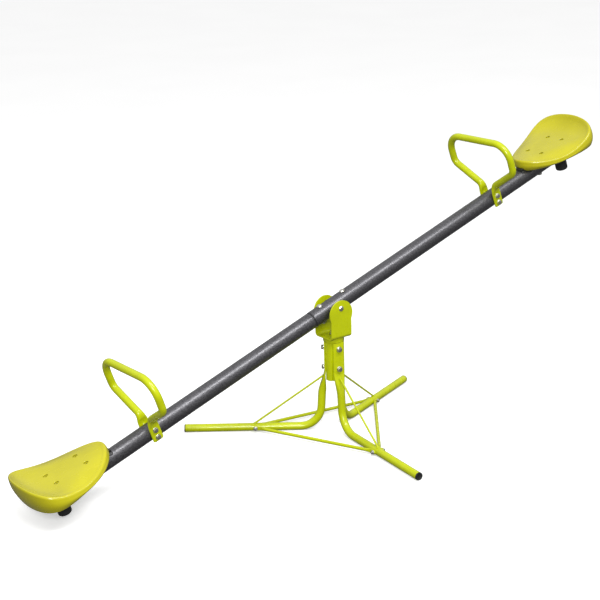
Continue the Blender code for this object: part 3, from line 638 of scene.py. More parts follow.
# %% Leg caps
def make_leg_cap(label):
    low, high = leg_span("leg_plug_" + label, label)
    out, _ = leg_directions(label)
    tip = leg_span("leg_" + label, label)[1][0]
    stem = leg_radius - LEG_WALL - 0.0003
    h, r = profile((low[0] - tip, 0.0), (low[0] - tip, stem - 0.0014), (low[0] - tip + 0.002, stem),
                   (0.0003, stem), (0.0003, leg_radius), (high[0] - tip, leg_radius, 0.0014),
                   (high[0] - tip, 0.0088, 0.0005), (high[0] - tip - 0.0011, 0.0074, 0.0008),
                   (high[0] - tip - 0.0011, 0.0))
    grid = turned(along_leg(label)(tip, 0.0, leg_radius), out, h, r, 64)
    return make_piece("cap_of_leg_" + label, [shell(grid)], "black_plastic", "stand", ["leg_plug_" + label])


for label in LEGS:
    make_leg_cap(label)

# %% [markdown]
# ## Stays
#
# A thin rod runs from under each leg head down to the floor part and stiffens the knee. It is
# welded at both ends. A weld is a ring of metal whose thickness ripples as the welder moves round.

# %% Stays
STAY_R, STAY_SUNK = 0.003, 0.0015


def make_stay(label):
    """Straight rod between the ends of the CAD rod, run into the leg at both ends, with a bead at each."""
    out, sideways = leg_directions(label)
    d = node_points("stay_" + label) - AXLE
    co = np.stack([d @ out, d @ sideways, d[:, 2]], 1)
    middle = (co[:, 2].max() + co[:, 2].min()) / 2
    place = along_leg(label)
    top, low = place(*co[co[:, 2] > middle].mean(0)), place(*co[co[:, 2] < middle].mean(0))
    axis = (top - low) / np.linalg.norm(top - low)
    length = float(np.linalg.norm(top - low))
    ends = [-STAY_SUNK, -STAY_SUNK, length + STAY_SUNK, length + STAY_SUNK]
    rod = turned(low, axis, ends, [0, STAY_R, STAY_R, 0], 32)
    shells = [shell(rod), weld_bead(low + 0.0002 * axis, UP, 0.0037, 0.0017),
              weld_bead(top - 0.0004 * axis, out, 0.0036, 0.0017)]
    return make_piece("stay_rod_" + label, shells, "lime_powder_coat", "stand", ["stay_" + label])


for label in LEGS:
    make_stay(label)

# %% [markdown]
# ## Braces between the legs
#
# Round bar ties each leg to the next near the floor. The ends are hammered flat, bent to lie along
# the leg and rounded off, and one bolt holds the two ends that meet at a leg.

# %% Braces
BRACE_FLAT = (0.0065, 0.0020)
BRACE_R_BAR = 0.0050


def brace_corners(label, sign):
    """Tip, bend and bolt points of one brace end beside a leg, in plan."""
    low, high = leg_span("brace_bolt_" + label, label)
    bolt_r = (low[0] + high[0]) / 2
    side = sign * (leg_radius + 0.0003 + BRACE_FLAT[1])
    tip, bend = along_leg(label)(np.array([bolt_r + 0.0075, bolt_r - 0.014]), side, 0.0)
    return tip[:2], bend[:2]


def make_brace(pair):
    """Bar along its plan line; the flat ends grow into the round bar and their tips are half round."""
    tip_1, bend_1 = brace_corners(pair[0], 1)
    tip_2, bend_2 = brace_corners(pair[1], -1)
    line, d = bent_line([tip_1, bend_1, bend_2, tip_2], [0.020, 0.020], 0.0012)
    total = d[-1]
    grown = smooth_step(np.minimum(d, total - d), 0.020, 0.042)
    tips = rounded_ends(d, total, BRACE_FLAT[0])
    wide = np.maximum(BRACE_FLAT[0] * tips, BRACE_FLAT[1]) * (1 - grown) + BRACE_R_BAR * grown
    thick = BRACE_FLAT[1] * (1 - grown) + BRACE_R_BAR * grown
    grid = sweep(line, wide, thick, lambda x, y, w: np.stack([x, y, leg_radius + w], -1), 40)
    return make_piece("tie_bar_" + pair, [shell(grid)], "lime_powder_coat", "stand", ["brace_" + pair])


for pair in ("ab", "bc", "ca"):
    make_brace(pair)

# %% [markdown]
# ## Centre post, collar and king pin
#
# The post is a thick tube with three flats, one for each leg head, so its section is a circle cut by
# three lines: the radius at an angle is the smaller of the circle and the nearest flat. The collar on
# top carries the swivel bracket, and the king pin holds the two together.

# %% Post, collar and king pin
STAND_COLS = 240
POST_R, POST_BORE = 0.0313, 0.017
GROOVE_DEPTH, GROOVE_AT, GROOVE_WIDTH = 0.0030, 0.69, 0.065
azimuth = round_angles(STAND_COLS) + math.pi / 2
leg_azimuths = [math.atan2(leg_directions(k)[0][1], leg_directions(k)[0][0]) for k in LEGS]


def make_post():
    """Flat over cos(angle from the flat), limited to the round, with a groove each side of a leg head."""
    low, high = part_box("center_post")
    head_face = leg_span("leg_a", "a")[0][0] - 0.00003
    from_flat = np.min([np.abs((azimuth - p + math.pi) % (2 * math.pi) - math.pi) for p in leg_azimuths], 0)
    section = np.minimum(head_face / np.cos(np.minimum(from_flat, 1.2)), POST_R)
    section = section - GROOVE_DEPTH * np.exp(-((from_flat - GROOVE_AT) / GROOVE_WIDTH) ** 2)
    bore = 0 * section + POST_BORE
    h = np.array([low.z, low.z + 0.0008, high.z - 0.0006, high.z, high.z, low.z])
    radii = np.stack([section - 0.0008, section, section, section - 0.0006, bore, bore])
    tube = shell(turned(AXLE, UP, h, radii, STAND_COLS), ring=True)
    return make_piece("leg_post", [tube], "lime_powder_coat", "stand", ["center_post"])


def make_collar():
    """Disc with rounded rims on a spigot that sits in the post."""
    low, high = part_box("post_cap")
    rim = (high.x - low.x) / 2
    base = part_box("center_post")[1].z + 0.0003
    h, r = profile((low.z, 0.0063), (low.z, 0.0164), (base, 0.0164), (base, rim, 0.0020),
                   (high.z, rim, 0.0028), (high.z, 0.0063))
    disc = shell(turned(AXLE, UP, h, r, STAND_COLS), ring=True)
    return make_piece("swivel_collar", [disc], "lime_powder_coat", "stand", ["post_cap"])


def make_king_pin():
    low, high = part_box("king_pin")
    head = high.z - 0.010
    shells = [washer(AXLE, UP, head, head + 0.002, 0.013, 0.0058),
              hex_prism(AXLE, UP, head + 0.002, high.z, 0.0095),
              threaded_rod(AXLE, -UP, -head - 0.0025, -low.z, 0.0060, -low.z - 0.030)]
    make_piece("king_pin_bolt", shells, "zinc_plate", "stand", ["king_pin"])
    low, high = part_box("king_nut")
    nut = hex_prism(AXLE, UP, low.z, high.z, 0.0090, 0.0057, True)
    return make_piece("king_pin_nut", [nut], "zinc_plate", "stand", ["king_nut"])


make_post()
make_collar()
make_king_pin()

# %% Bolts of the stand
# Height and half width of the head, radius and thickness of the washer, radius of the shank.
POST_BOLT = (0.0055, 0.0065, 0.0085, 0.0015, 0.0040)
BRACE_BOLT = (0.0048, 0.0050, 0.0066, 0.0012, 0.0030)
GRIP_BOLT = (0.0042, 0.0062, 0.0080, 0.0012, 0.0040)


def make_stand_bolts(label):
    out, sideways = leg_directions(label)
    place = along_leg(label)
    for which in ("upper", "lower"):
        node_name = f"post_bolt_{label}_{which}"
        low, high = leg_span(node_name, label)
        z = (low[2] + high[2]) / 2
        face = high[0] - 0.0070
        shells = hex_bolt(place(0.0, 0.0, z), -out, -face, *POST_BOLT, -low[0])
        make_piece(f"leg_head_bolt_{label}_{which}", shells, "zinc_plate", "stand", [node_name])
    low, high = leg_span("brace_bolt_" + label, label)
    head = 1 if -low[1] > high[1] else -1
    face = leg_radius + 0.0006 + 2 * BRACE_FLAT[1]
    axis = head * sideways
    at = place((low[0] + high[0]) / 2, 0.0, leg_radius)
    shells = hex_bolt(at, axis, -face, *BRACE_BOLT, face + 0.0062, (face, 0.0040, 0.0050))
    make_piece("tie_bolt_" + label, shells, "zinc_plate", "stand", ["brace_bolt_" + label])


for label in LEGS:
    make_stand_bolts(label)

# %% [markdown]
# ## Swivel bracket
#
# The bracket is one strip of 4 mm plate bent to a U: a web on the collar and an ear up each side of the
# tube. The flat strip has round heads, and a round end on a square grid pinches at a point. The
# square-to-disc map avoids that: x*sqrt(1 - y*y/2) and y*sqrt(1 - x*x/2) bend the grid into a half disc
# and leave four-sided faces everywhere. Solidify then gives the plate its thickness and Bevel breaks
# its edges.

# %% Swivel bracket
PLATE = 0.0040
EAR_HALF, BRACKET_BEND = 0.0380, 0.0070


def bracket_sheet():
    """Outer face of the U as a grid: half discs on straight sides, carried round two bends."""
    low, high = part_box("swivel_bracket")
    ear_y = (high.y - low.y) / 2
    head_r = (high.x - low.x) / 2
    head_z = high.z - head_r
    x = np.linspace(-1, 1, 57)[None, :]
    v = np.linspace(1, 0, 29)[:, None]
    head_x, head_up = head_r * x * np.sqrt(1 - v * v / 2), head_z + head_r * v * np.sqrt(1 - x * x / 2)
    waist_z = np.linspace(head_z, low.z + BRACKET_BEND, 22)[1:, None]
    below = np.minimum(head_z - waist_z, head_r * 0.9)
    half = np.maximum(np.sqrt(head_r ** 2 - below ** 2), EAR_HALF)
    ear_x = np.concatenate([head_x, half * x])
    ear_z = np.concatenate([head_up, waist_z + 0 * x])
    turn = np.linspace(0, math.pi / 2, 13)[1:, None]
    bend_y, bend_z = ear_y - BRACKET_BEND * (1 - np.cos(turn)), low.z + BRACKET_BEND * (1 - np.sin(turn))
    web_y = np.linspace(ear_y - BRACKET_BEND, 0, 20)[1:, None]
    half_x = np.concatenate([ear_x, EAR_HALF * x + 0 * turn, EAR_HALF * x + 0 * web_y])
    half_y = np.concatenate([0 * ear_x + ear_y, bend_y + 0 * x, web_y + 0 * x])
    half_z = np.concatenate([ear_z, bend_z + 0 * x, low.z + 0 * web_y + 0 * x])
    front = np.stack([half_x, -half_y, half_z], -1)
    back = np.stack([half_x, half_y, half_z], -1)[::-1]
    return np.concatenate([front, back[1:]]) + AXLE * [1, 1, 0]


def sheet(points):
    """Open grid as four-sided faces, rows by columns."""
    rows, cols = points.shape[:2]
    i = (np.arange(rows - 1)[:, None] * cols + np.arange(cols - 1)[None, :]).ravel()
    return points.reshape(-1, 3), np.stack([i, i + 1, i + cols + 1, i + cols], 1).tolist()


def break_edges(piece, width, segments, angle):
    """Bevel on the edges sharper than an angle in degrees."""
    edge = piece.modifiers.new("edge", "BEVEL")
    edge.width, edge.segments, edge.limit_method = width, segments, "ANGLE"
    edge.angle_limit = math.radians(angle)


bracket = make_piece("swivel_u_bracket", [sheet(bracket_sheet())], "lime_powder_coat", "head",
                     ["swivel_bracket"])
plate = bracket.modifiers.new("plate", "SOLIDIFY")
plate.thickness, plate.offset = PLATE, -1.0
break_edges(bracket, 0.0007, 3, 50)

# %% Pivot bolt, nut and spacers
def make_pivot():
    low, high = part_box("swivel_bracket")
    ear = (high.y - low.y) / 2 + 0.0003
    bolt_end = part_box("pivot_bolt")[1].y - PIVOT[1]
    h, r = profile((-ear - 0.0018, 0.0), (-ear - 0.0018, 0.0088), (-ear - 0.0042, 0.0086, 0.0012),
                   (-ear - 0.0070, 0.0060, 0.004), (-ear - 0.0082, 0.0))
    shells = [shell(turned(PIVOT, ACROSS, h, r, 72)),
              washer(PIVOT, ACROSS, -ear - 0.0018, -ear, 0.0105, 0.0048),
              threaded_rod(PIVOT, ACROSS, -ear - 0.0022, bolt_end, 0.0050, ear - 0.004, 0.0015)]
    make_piece("pivot_bolt_domed", shells, "zinc_plate", "head", ["pivot_bolt"])
    nut_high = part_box("pivot_nut")[1].y - PIVOT[1]
    nut = [washer(PIVOT, ACROSS, ear, ear + 0.0016, 0.0105, 0.0052),
           hex_prism(PIVOT, ACROSS, ear + 0.0016, nut_high, 0.0085, 0.0047, True)]
    make_piece("pivot_bolt_nut", nut, "zinc_plate", "head", ["pivot_nut"])


def make_spacer(sign, label):
    """Ring round the pivot bolt whose inner end follows the tube: y = sqrt(tube^2 - height^2)."""
    low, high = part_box("pivot_spacer_" + label)
    outer_end = max(abs(low.y - PIVOT[1]), abs(high.y - PIVOT[1]))
    tube = beam_span("beam_tube_high", 1)[2] + 0.0003
    a = round_angles(64)
    spun = np.cos(a)[:, None] * np.array([1.0, 0, 0]) + np.sin(a)[:, None] * np.array([0, 0, -float(sign)])
    height = spun @ UPRIGHT
    radii = np.array([0.0053, 0.0082, 0.0112, 0.0120, 0.0120, 0.0114, 0.0053])
    seat_on_tube = np.sqrt(tube ** 2 - (radii[:4, None] * height) ** 2)
    flat_end = np.array([outer_end - 0.0006, outer_end, outer_end])[:, None] + 0 * height
    heights = np.concatenate([seat_on_tube, flat_end])
    grid = turned(PIVOT, sign * ACROSS, heights, np.repeat(radii[:, None], 64, 1), 64)
    return make_piece("tube_spacer_" + label, [shell(grid, ring=True)], "dark_nylon", "beam",
                      ["pivot_spacer_" + label])


make_pivot()
make_spacer(-1, "front")
make_spacer(1, "back")

# %% [markdown]
# ## Beam
#
# Two straight tubes make the beam. The upper one runs right through the bracket, and the lower one has
# its end drawn down so that it slides inside. Only a fine step on the lower side shows this. Both are
# turned profiles along the beam, and the plugs in their ends are turned parts too.

# %% Beam tubes and end plugs
TUBE_COLS = 96
tube_r = {label: beam_span("beam_plug_" + label, side)[2] for label, side in SIDES.items()}
tube_end = {label: beam_span("beam_tube_" + label, side)[1][0] for label, side in SIDES.items()}
joint_s = -beam_span("beam_tube_high", 1)[0][0]
spigot_end = -beam_span("beam_tube_low", -1)[0][0]
TUBE_WALL = 0.0020


def even(a, b, step=0.02):
    return np.linspace(a, b, max(int(abs(b - a) / step), 2) + 1)


def make_tubes():
    high, low = tube_r["high"], tube_r["low"]
    run = even(-joint_s + 0.0012, tube_end["high"] - 0.0005)
    h = np.concatenate([[-joint_s, -joint_s], run, [tube_end["high"]] * 2])
    r = np.concatenate([[high - TUBE_WALL, high - 0.0009], np.full(len(run), high),
                        [high - 0.0005, high - TUBE_WALL]])
    pipe = shell(turned(PIVOT, ALONG, h, r, TUBE_COLS), ring=True)
    make_piece("beam_pipe_high", [pipe], "hammered_grey_paint", "beam", ["beam_tube_high"])
    step = joint_s + 0.0032
    spigot = high - TUBE_WALL - 0.0003
    run = even(tube_end["low"] - 0.0005, step + 0.0024)
    h = np.concatenate([[tube_end["low"]] * 2, run,
                        [step + 0.0012, step, -spigot_end, -spigot_end, step, step + 0.004]])
    r = np.concatenate([[low - TUBE_WALL, low - 0.0005], np.full(len(run), low),
                        [low - 0.0004, spigot, spigot], [spigot - TUBE_WALL] * 2, [low - TUBE_WALL]])
    pipe = shell(turned(PIVOT, -ALONG, h, r, TUBE_COLS), ring=True)
    make_piece("beam_pipe_low", [pipe], "hammered_grey_paint", "beam", ["beam_tube_low"])


def make_end_plug(side, label):
    low, high, r_out = beam_span("beam_plug_" + label, side)
    bore = r_out - TUBE_WALL - 0.0003
    end = tube_end[label]
    h, r = profile((low[0], 0.0), (low[0], bore - 0.0016), (low[0] + 0.003, bore), (end + 0.0003, bore),
                   (end + 0.0003, r_out), (end + 0.0030, r_out, 0.0016), (high[0], r_out - 0.006, 0.006),
                   (high[0] + 0.0004, 0.0))
    return make_piece("beam_end_plug_" + label, [shell(turned(PIVOT, side * ALONG, h, r, TUBE_COLS))],
                      "black_plastic", "beam", ["beam_plug_" + label])


def make_joint_ring():
    """Dark ring that closes the gap between the tube ends."""
    inner, outer = tube_r["high"] - TUBE_WALL - 0.0001, tube_r["high"] - 0.0008
    start, end = joint_s + 0.0003, joint_s + 0.0029
    h, r = profile((start, inner), (start, outer, 0.0004), (end, outer, 0.0004), (end, inner))
    ring = shell(turned(PIVOT, -ALONG, h, r, TUBE_COLS), ring=True)
    return make_piece("joint_ring", [ring], "dark_nylon", "beam")


make_tubes()
make_joint_ring()
for label, side in SIDES.items():
    make_end_plug(side, label)

# %% Bolts through the joint
def make_joint_bolt(side, label):
    """Domed head on a washer above the tube, lock nut below."""
    low, high, _ = beam_span("joint_bolt_" + label, side)
    at = along_beam(side)((low[0] + high[0]) / 2, 0.0, 0.0)
    top = tube_r["high"] + 0.0003
    h, r = profile((top + 0.0010, 0.0), (top + 0.0010, 0.0076), (top + 0.0022, 0.0074, 0.0006),
                   (top + 0.0040, 0.0056, 0.0050), (top + 0.0049, 0.0))
    shells = [washer(at, UPRIGHT, top, top + 0.0010, 0.0090, 0.0038), shell(turned(at, UPRIGHT, h, r, 64)),
              threaded_rod(at, -UPRIGHT, -top - 0.0012, -low[2], 0.0040, top - 0.004),
              washer(at, -UPRIGHT, top, top + 0.0012, 0.0085, 0.0041),
              hex_prism(at, -UPRIGHT, top + 0.0012, -low[2] - 0.0008, 0.0065, 0.0036, True)]
    return make_piece("joint_bolt_domed_" + label, shells, "zinc_plate", "beam", ["joint_bolt_" + label])


for label, side in SIDES.items():
    make_joint_bolt(side, label)

# %% [markdown]
# ## Handles
#
# A handle is one bent tube that goes out from the beam, up, across the top and back down. Both ends
# are pressed flat, with rounded corners, and clamp the beam between them. The line is six corners
# in the plane square to the beam, and the section swells from flat to round above the beam.

# %% Handles
HANDLE_FLAT = (0.0170, 0.0025)
HANDLE_BENDS = (0.020, 0.028, 0.055, 0.055, 0.028, 0.020)
HANDLE_HIP, HANDLE_KNEE_N = (0.1315, 0.1090), 0.0460
HANDLE_TUBE_R, HANDLE_CORNER, HANDLE_GROWS = 0.0110, 0.0055, (0.042, 0.078)


def make_handle(side, label):
    """Loop line in (y, n); half width W - R + sqrt(R^2 - (R - d)^2) rounds the corners of the flat ends."""
    low, high, _ = beam_span("handle_" + label, side)
    at = (low[0] + high[0]) / 2
    tube = HANDLE_TUBE_R
    flat_y = tube_r["high"] + 0.0004 + HANDLE_FLAT[1]
    half = [(flat_y, low[2]), (flat_y, HANDLE_KNEE_N), HANDLE_HIP, (high[1] - tube, high[2] - tube)]
    corners = half + [(-a, b) for a, b in half[::-1]]
    line, d = bent_line(corners, HANDLE_BENDS, 0.0012)
    near = np.minimum(d, d[-1] - d)
    grown = smooth_step(near, *HANDLE_GROWS)
    corner = HANDLE_CORNER
    cut = corner - np.sqrt(np.maximum(corner ** 2 - np.maximum(corner - near, 0) ** 2, 0))
    wide = (HANDLE_FLAT[0] - cut) * (1 - grown) + tube * grown
    thick = HANDLE_FLAT[1] * (1 - grown) + tube * grown
    trim = 1 - 0.25 * (1 - np.clip(near / 0.0013, 0, 1)) ** 2
    place = along_beam(side)
    grid = sweep(line, wide, thick * trim, lambda y, n, w: place(at + w, y, n), 56)
    return make_piece("grip_loop_" + label, [shell(grid)], "lime_powder_coat", "beam", ["handle_" + label])


def make_handle_bolts(side, label):
    for which in ("upper", "lower"):
        name = f"handle_bolt_{label}_{which}"
        low, high, _ = beam_span(name, side)
        at = along_beam(side)((low[0] + high[0]) / 2, 0.0, (low[2] + high[2]) / 2)
        face = tube_r["high"] + 0.0007 + 2 * HANDLE_FLAT[1]
        shells = hex_bolt(at, ACROSS, -face, *GRIP_BOLT, high[1] + 0.0010, (face, 0.0056, 0.0065), 0.010)
        make_piece(f"grip_bolt_{label}_{which}", shells, "zinc_plate", "beam", [name])


for label, side in SIDES.items():
    make_handle(side, label)
    make_handle_bolts(side, label)

# %% [markdown]
# ## Seats
#
# A seat is moulded in one piece: a dished floor, a rolled rim that is high at the back and low beside
# the legs, and a skirt that stiffens it. In plan it is a closed curve: the half width at angle u is
# sin(u) times a short cosine series, narrow at the nose and broad behind. From the middle to the rim
# the surface stays flat and then rises as a power of the distance. The same rings then go over the
# rim, down the skirt, in under its edge and back to the middle beneath.

# %% Seat shape
SEAT_FLOOR, SEAT_SKIN = 0.0515, 0.0040
SEAT_MIDDLE_S = 0.968
SEAT_COLS = 256
SEAT_WIDEST, SEAT_FLAT = 0.1285, 0.42
RIM_INSET, RIM_LIP, RIM_DROP = 0.0057, 0.0012, 0.0080
SKIRT_DRAFT, SKIRT_BELLY = 0.0066, 0.0022
seat_low, seat_high, _ = beam_span("seat_high", 1)
seat_mid, seat_half = (seat_low[0] + seat_high[0]) / 2, (seat_high[0] - seat_low[0]) / 2
SKIRT_N = float(seat_low[2])


def seat_plan(u, inset):
    """Plan curve shrunk by an inset: s = mid - half*cos u, y = sin u*(w - a cos u + b cos 2u - c cos 3u)."""
    y = np.sin(u) * (SEAT_WIDEST - 0.055 * np.cos(u) + 0.0159 * np.cos(2 * u) - 0.0073 * np.cos(3 * u))
    return seat_mid - seat_half * np.cos(u) * (1 - inset / seat_half), y * (1 - inset / SEAT_WIDEST)


def rim_height(u):
    """Height of the rim: a parabola in t = -cos u, lowest beside the legs and highest at the back."""
    t = -np.cos(u)
    return 0.0392 + 0.0175 * t + 0.0356 * t * t


def seat_surface(u, rho):
    """Upper surface: flat to rho = f, rising to the rim as ((rho - f)/(1 - f))^(2.3 + 0.7t), then a lip."""
    s, y = seat_plan(u, RIM_INSET)
    rise = (np.maximum(rho - SEAT_FLAT, 0) / (1 - SEAT_FLAT)) ** (2.3 - 0.7 * np.cos(u))
    n = SEAT_FLOOR + (rim_height(u) - SEAT_FLOOR) * rise + RIM_LIP * smooth_step(rho, 0.925, 0.965)
    return np.stack(np.broadcast_arrays(SEAT_MIDDLE_S + (s - SEAT_MIDDLE_S) * rho, y * rho, n), -1)


def seat_shell_points():
    """Rings of (s, y, n): top, rim as a quarter ellipse, skirt, its edge, and the underside.

    The skirt is set in by draft*down^2 - belly*sin(pi*down), so it bulges before it draws in. The rings
    about the rim are averaged with their neighbours three times.
    """
    u = (round_angles(SEAT_COLS) + math.pi / SEAT_COLS)[None, :]
    top = seat_surface(u, np.concatenate([np.linspace(0, 0.40, 14), np.linspace(SEAT_FLAT, 1, 56)])[:, None])
    turn = np.linspace(0, math.pi / 2, 12)[1:, None]
    s, y = seat_plan(u, RIM_INSET * (1 - np.sin(turn)))
    rim = np.stack([s, y, rim_height(u) + RIM_LIP - (RIM_DROP + RIM_LIP) * (1 - np.cos(turn))], -1)
    down = np.linspace(0, 1, 30)[1:, None]
    s, y = seat_plan(u, SKIRT_DRAFT * down ** 2 - SKIRT_BELLY * np.sin(math.pi * down))
    skirt = np.stack([s, y, (rim_height(u) - RIM_DROP) * (1 - down) + SKIRT_N * down], -1)
    s, y = seat_plan(u, np.array([[0.0072], [0.0094], [0.0100]]))
    edge_ring = np.stack([s, y, SKIRT_N + np.array([[0.0], [0.0], [0.0005]]) + 0 * u], -1)
    back_up = np.linspace(0, 1, 24)[1:, None]
    s, y = seat_plan(u, 0.0100 - 0.0035 * back_up)
    inside = np.stack([s, y, SKIRT_N * (1 - back_up) + (rim_height(u) - 0.0115) * back_up], -1)
    under = seat_surface(u, np.linspace(0.88, 0, 40)[:, None]) - [0, 0, SEAT_SKIN]
    rings = np.concatenate([top, rim, skirt, edge_ring, inside, under])
    lo, hi = len(top) - 9, len(top) + 22
    for _ in range(3):
        rings[lo:hi] = 0.25 * rings[lo - 1:hi - 1] + 0.5 * rings[lo:hi] + 0.25 * rings[lo + 1:hi + 1]
    return rings


print("seat", round(2 * seat_half, 4), "long, rim from", round(float(rim_height(np.pi / 2)), 4), "to",
      round(float(rim_height(np.pi)), 4))

# %% [markdown]
# ## Holes in the seat
#
# Four recesses sink the bolts below the floor, and the skirt is cut away over the beam. Holes do not fit
# a grid of rings, so they are cut with booleans here, from turned shapes with a flared mouth. The
# cutters are removed once the cut is in the mesh. A moulded boss under each recess carries the bolt.

# %% Seats
RECESS_DEPTH, RECESS_R = 0.0072, 0.0066
SADDLE_WAY_R = 0.0297


def cut_away(piece, cutters):
    """Boolean difference of a piece with each cutter, written into its mesh."""
    tools = []
    for verts, faces in cutters:
        mesh = bpy.data.meshes.new("cutter")
        mesh.from_pydata(verts.tolist(), [], faces)
        tool = bpy.data.objects.new("cutter", mesh)
        bpy.context.scene.collection.objects.link(tool)
        tools.append(tool)
        cut = piece.modifiers.new("cut", "BOOLEAN")
        cut.operation, cut.solver, cut.object = "DIFFERENCE", "EXACT", tool
    bpy.context.view_layer.update()
    result = bpy.data.meshes.new_from_object(piece.evaluated_get(bpy.context.evaluated_depsgraph_get()))
    piece.modifiers.clear()
    piece.data = result
    for tool in tools:
        bpy.data.objects.remove(tool)
    result.shade_smooth()
    result.set_sharp_from_angle(angle=CREASE)
    return piece


def seat_bolt_places(label, side):
    """Middle of each of the seat's four bolts as (s, y, n)."""
    spans = [beam_span(f"seat_bolt_{label}_{number}", side) for number in range(1, 5)]
    return [(low + high) / 2 for low, high, _ in spans]


def make_seat(side, label):
    place = along_beam(side)
    rings = seat_shell_points()
    grid = place(rings[..., 0], rings[..., 1], rings[..., 2])
    spots = seat_bolt_places(label, side)
    piece = make_piece("bucket_seat_" + label, [shell(grid, lids=False)], "yellow_green_plastic", "beam",
                       ["seat_" + label])
    way = SADDLE_WAY_R
    over_tube = turned(place(0.80, 0.0, 0.0), side * ALONG, [0, 0, 0.09, 0.09], [0, way, way, 0], 96)
    slope = np.array([(0.80, 0.0), (0.80, 0.0298), (0.822, 0.0298), (0.880, 0.0424), (0.880, 0.0)])
    over_wedge = place(slope[None, :, 0], np.array([[-0.0153], [0.0153]]), slope[None, :, 1])
    cutters = [shell(over_tube), shell(over_wedge)]
    bottom, mouth = SEAT_FLOOR - RECESS_DEPTH, RECESS_R + 0.0014
    for s, y, _ in spots:
        h, r = profile((0.0300, 0.0), (0.0300, 0.0033), (bottom, 0.0033), (bottom, RECESS_R),
                       (SEAT_FLOOR - 0.0008, RECESS_R + 0.0002, 0.0008), (SEAT_FLOOR + 0.0004, mouth),
                       (0.060, mouth), (0.060, 0.0))
        cutters.append(shell(turned(place(s, y, 0.0), UPRIGHT, h, r, 64)))
    cut_away(piece, cutters)
    top = SEAT_FLOOR - SEAT_SKIN + 0.001
    for i, (s, y, _) in enumerate(spots):
        h, r = profile((0.0433, 0.0034), (0.0433, 0.0080, 0.0006), (top, 0.0086), (top, 0.0034))
        boss = shell(turned(place(s, y, 0.0), UPRIGHT, h, r, 48), ring=True)
        make_piece(f"seat_boss_{label}_{i + 1}", [boss], "yellow_green_plastic", "beam")
    return piece


for label, side in SIDES.items():
    make_seat(side, label)

# %% Seat bolts, and dark cups in their recesses that paint the shade there
def make_seat_bolts(side, label):
    """Flat-headed bolt at the bottom of each recess, a dark cup in the recess that paints its shade, a nut
    below.
    """
    place = along_beam(side)
    head = SEAT_FLOOR - RECESS_DEPTH + 0.0002
    cup_low, cup_floor, cup_rim = head + 0.0012, head + 0.0018, SEAT_FLOOR - 0.0018
    cup_r = RECESS_R - 0.0001
    cup_bore = cup_r - 0.0006
    head_profile = profile((head, 0.0), (head, 0.0058), (head + 0.0011, 0.0052, 0.0004), (head + 0.0011, 0.0))
    cup_profile = profile((cup_low, 0.0), (cup_low, cup_r), (cup_rim, cup_r, 0.0002),
                          (cup_rim, cup_bore, 0.0002), (cup_floor, cup_bore), (cup_floor, 0.0))
    for i, (s, y, _) in enumerate(seat_bolt_places(label, side)):
        at = place(s, y, 0.0)
        node_name = f"seat_bolt_{label}_{i + 1}"
        low = beam_span(node_name, side)[0][2]
        shells = [shell(turned(at, UPRIGHT, *head_profile, 48)),
                  threaded_rod(at, -UPRIGHT, -head - 0.0003, -low, 0.0030, -low - 0.008, 0.001),
                  hex_prism(at, UPRIGHT, low, low + 0.0048, 0.0050, 0.0028, True)]
        make_piece(f"seat_fixing_{label}_{i + 1}", shells, "zinc_plate", "beam", [node_name])
        # Painted shade: a nearly black cup that darkens the inside of the recess.
        shade_cup = shell(turned(at, UPRIGHT, *cup_profile, 64))
        make_piece(f"seat_recess_shade_cup_{label}_{i + 1}", [shade_cup], "recess_shade_plastic", "beam")


for label, side in SIDES.items():
    make_seat_bolts(side, label)

# %% [markdown]
# ## Saddles
#
# Each seat stands on a black moulded saddle: a cradle over the tube, a wedge that the nose of the
# seat comes down on, a flat plate for the four bolts, and webs between cradle and plate. Each is a
# simple outline pushed through a distance, and Bevel rounds the edges as a mould would.

# %% Saddles
SADDLE_TOP, SADDLE_PLATE = 0.0430, 0.0040
SADDLE_R, SADDLE_END, SADDLE_NOSE = 0.0290, 1.0365, 0.013
WEB_PLACES, WEB_HALF = (0.8925, 0.9400, 0.9880, 1.0330), 0.0015


def pushed(outline, place_at, offsets):
    """Closed outline of two coordinates, repeated at each offset in the third."""
    outline = np.asarray(outline, float)
    a, b = outline[None, :, 0], outline[None, :, 1]
    return shell(place_at(a, b, np.asarray(offsets, float)[:, None]))


def round_rectangle(a0, a1, b0, b1, radius, steps=8):
    """Outline of a rectangle with round corners, from four quarter turns."""
    f = np.linspace(0, math.pi / 2, steps)
    near, far, low, high = a0 + radius, a1 - radius, b0 + radius, b1 - radius
    out = []
    for i, (a, b) in enumerate(((far, high), (near, high), (near, low), (far, low))):
        t = f + i * math.pi / 2
        out.append(np.stack([a + radius * np.cos(t), b + radius * np.sin(t)], 1))
    return np.concatenate(out)


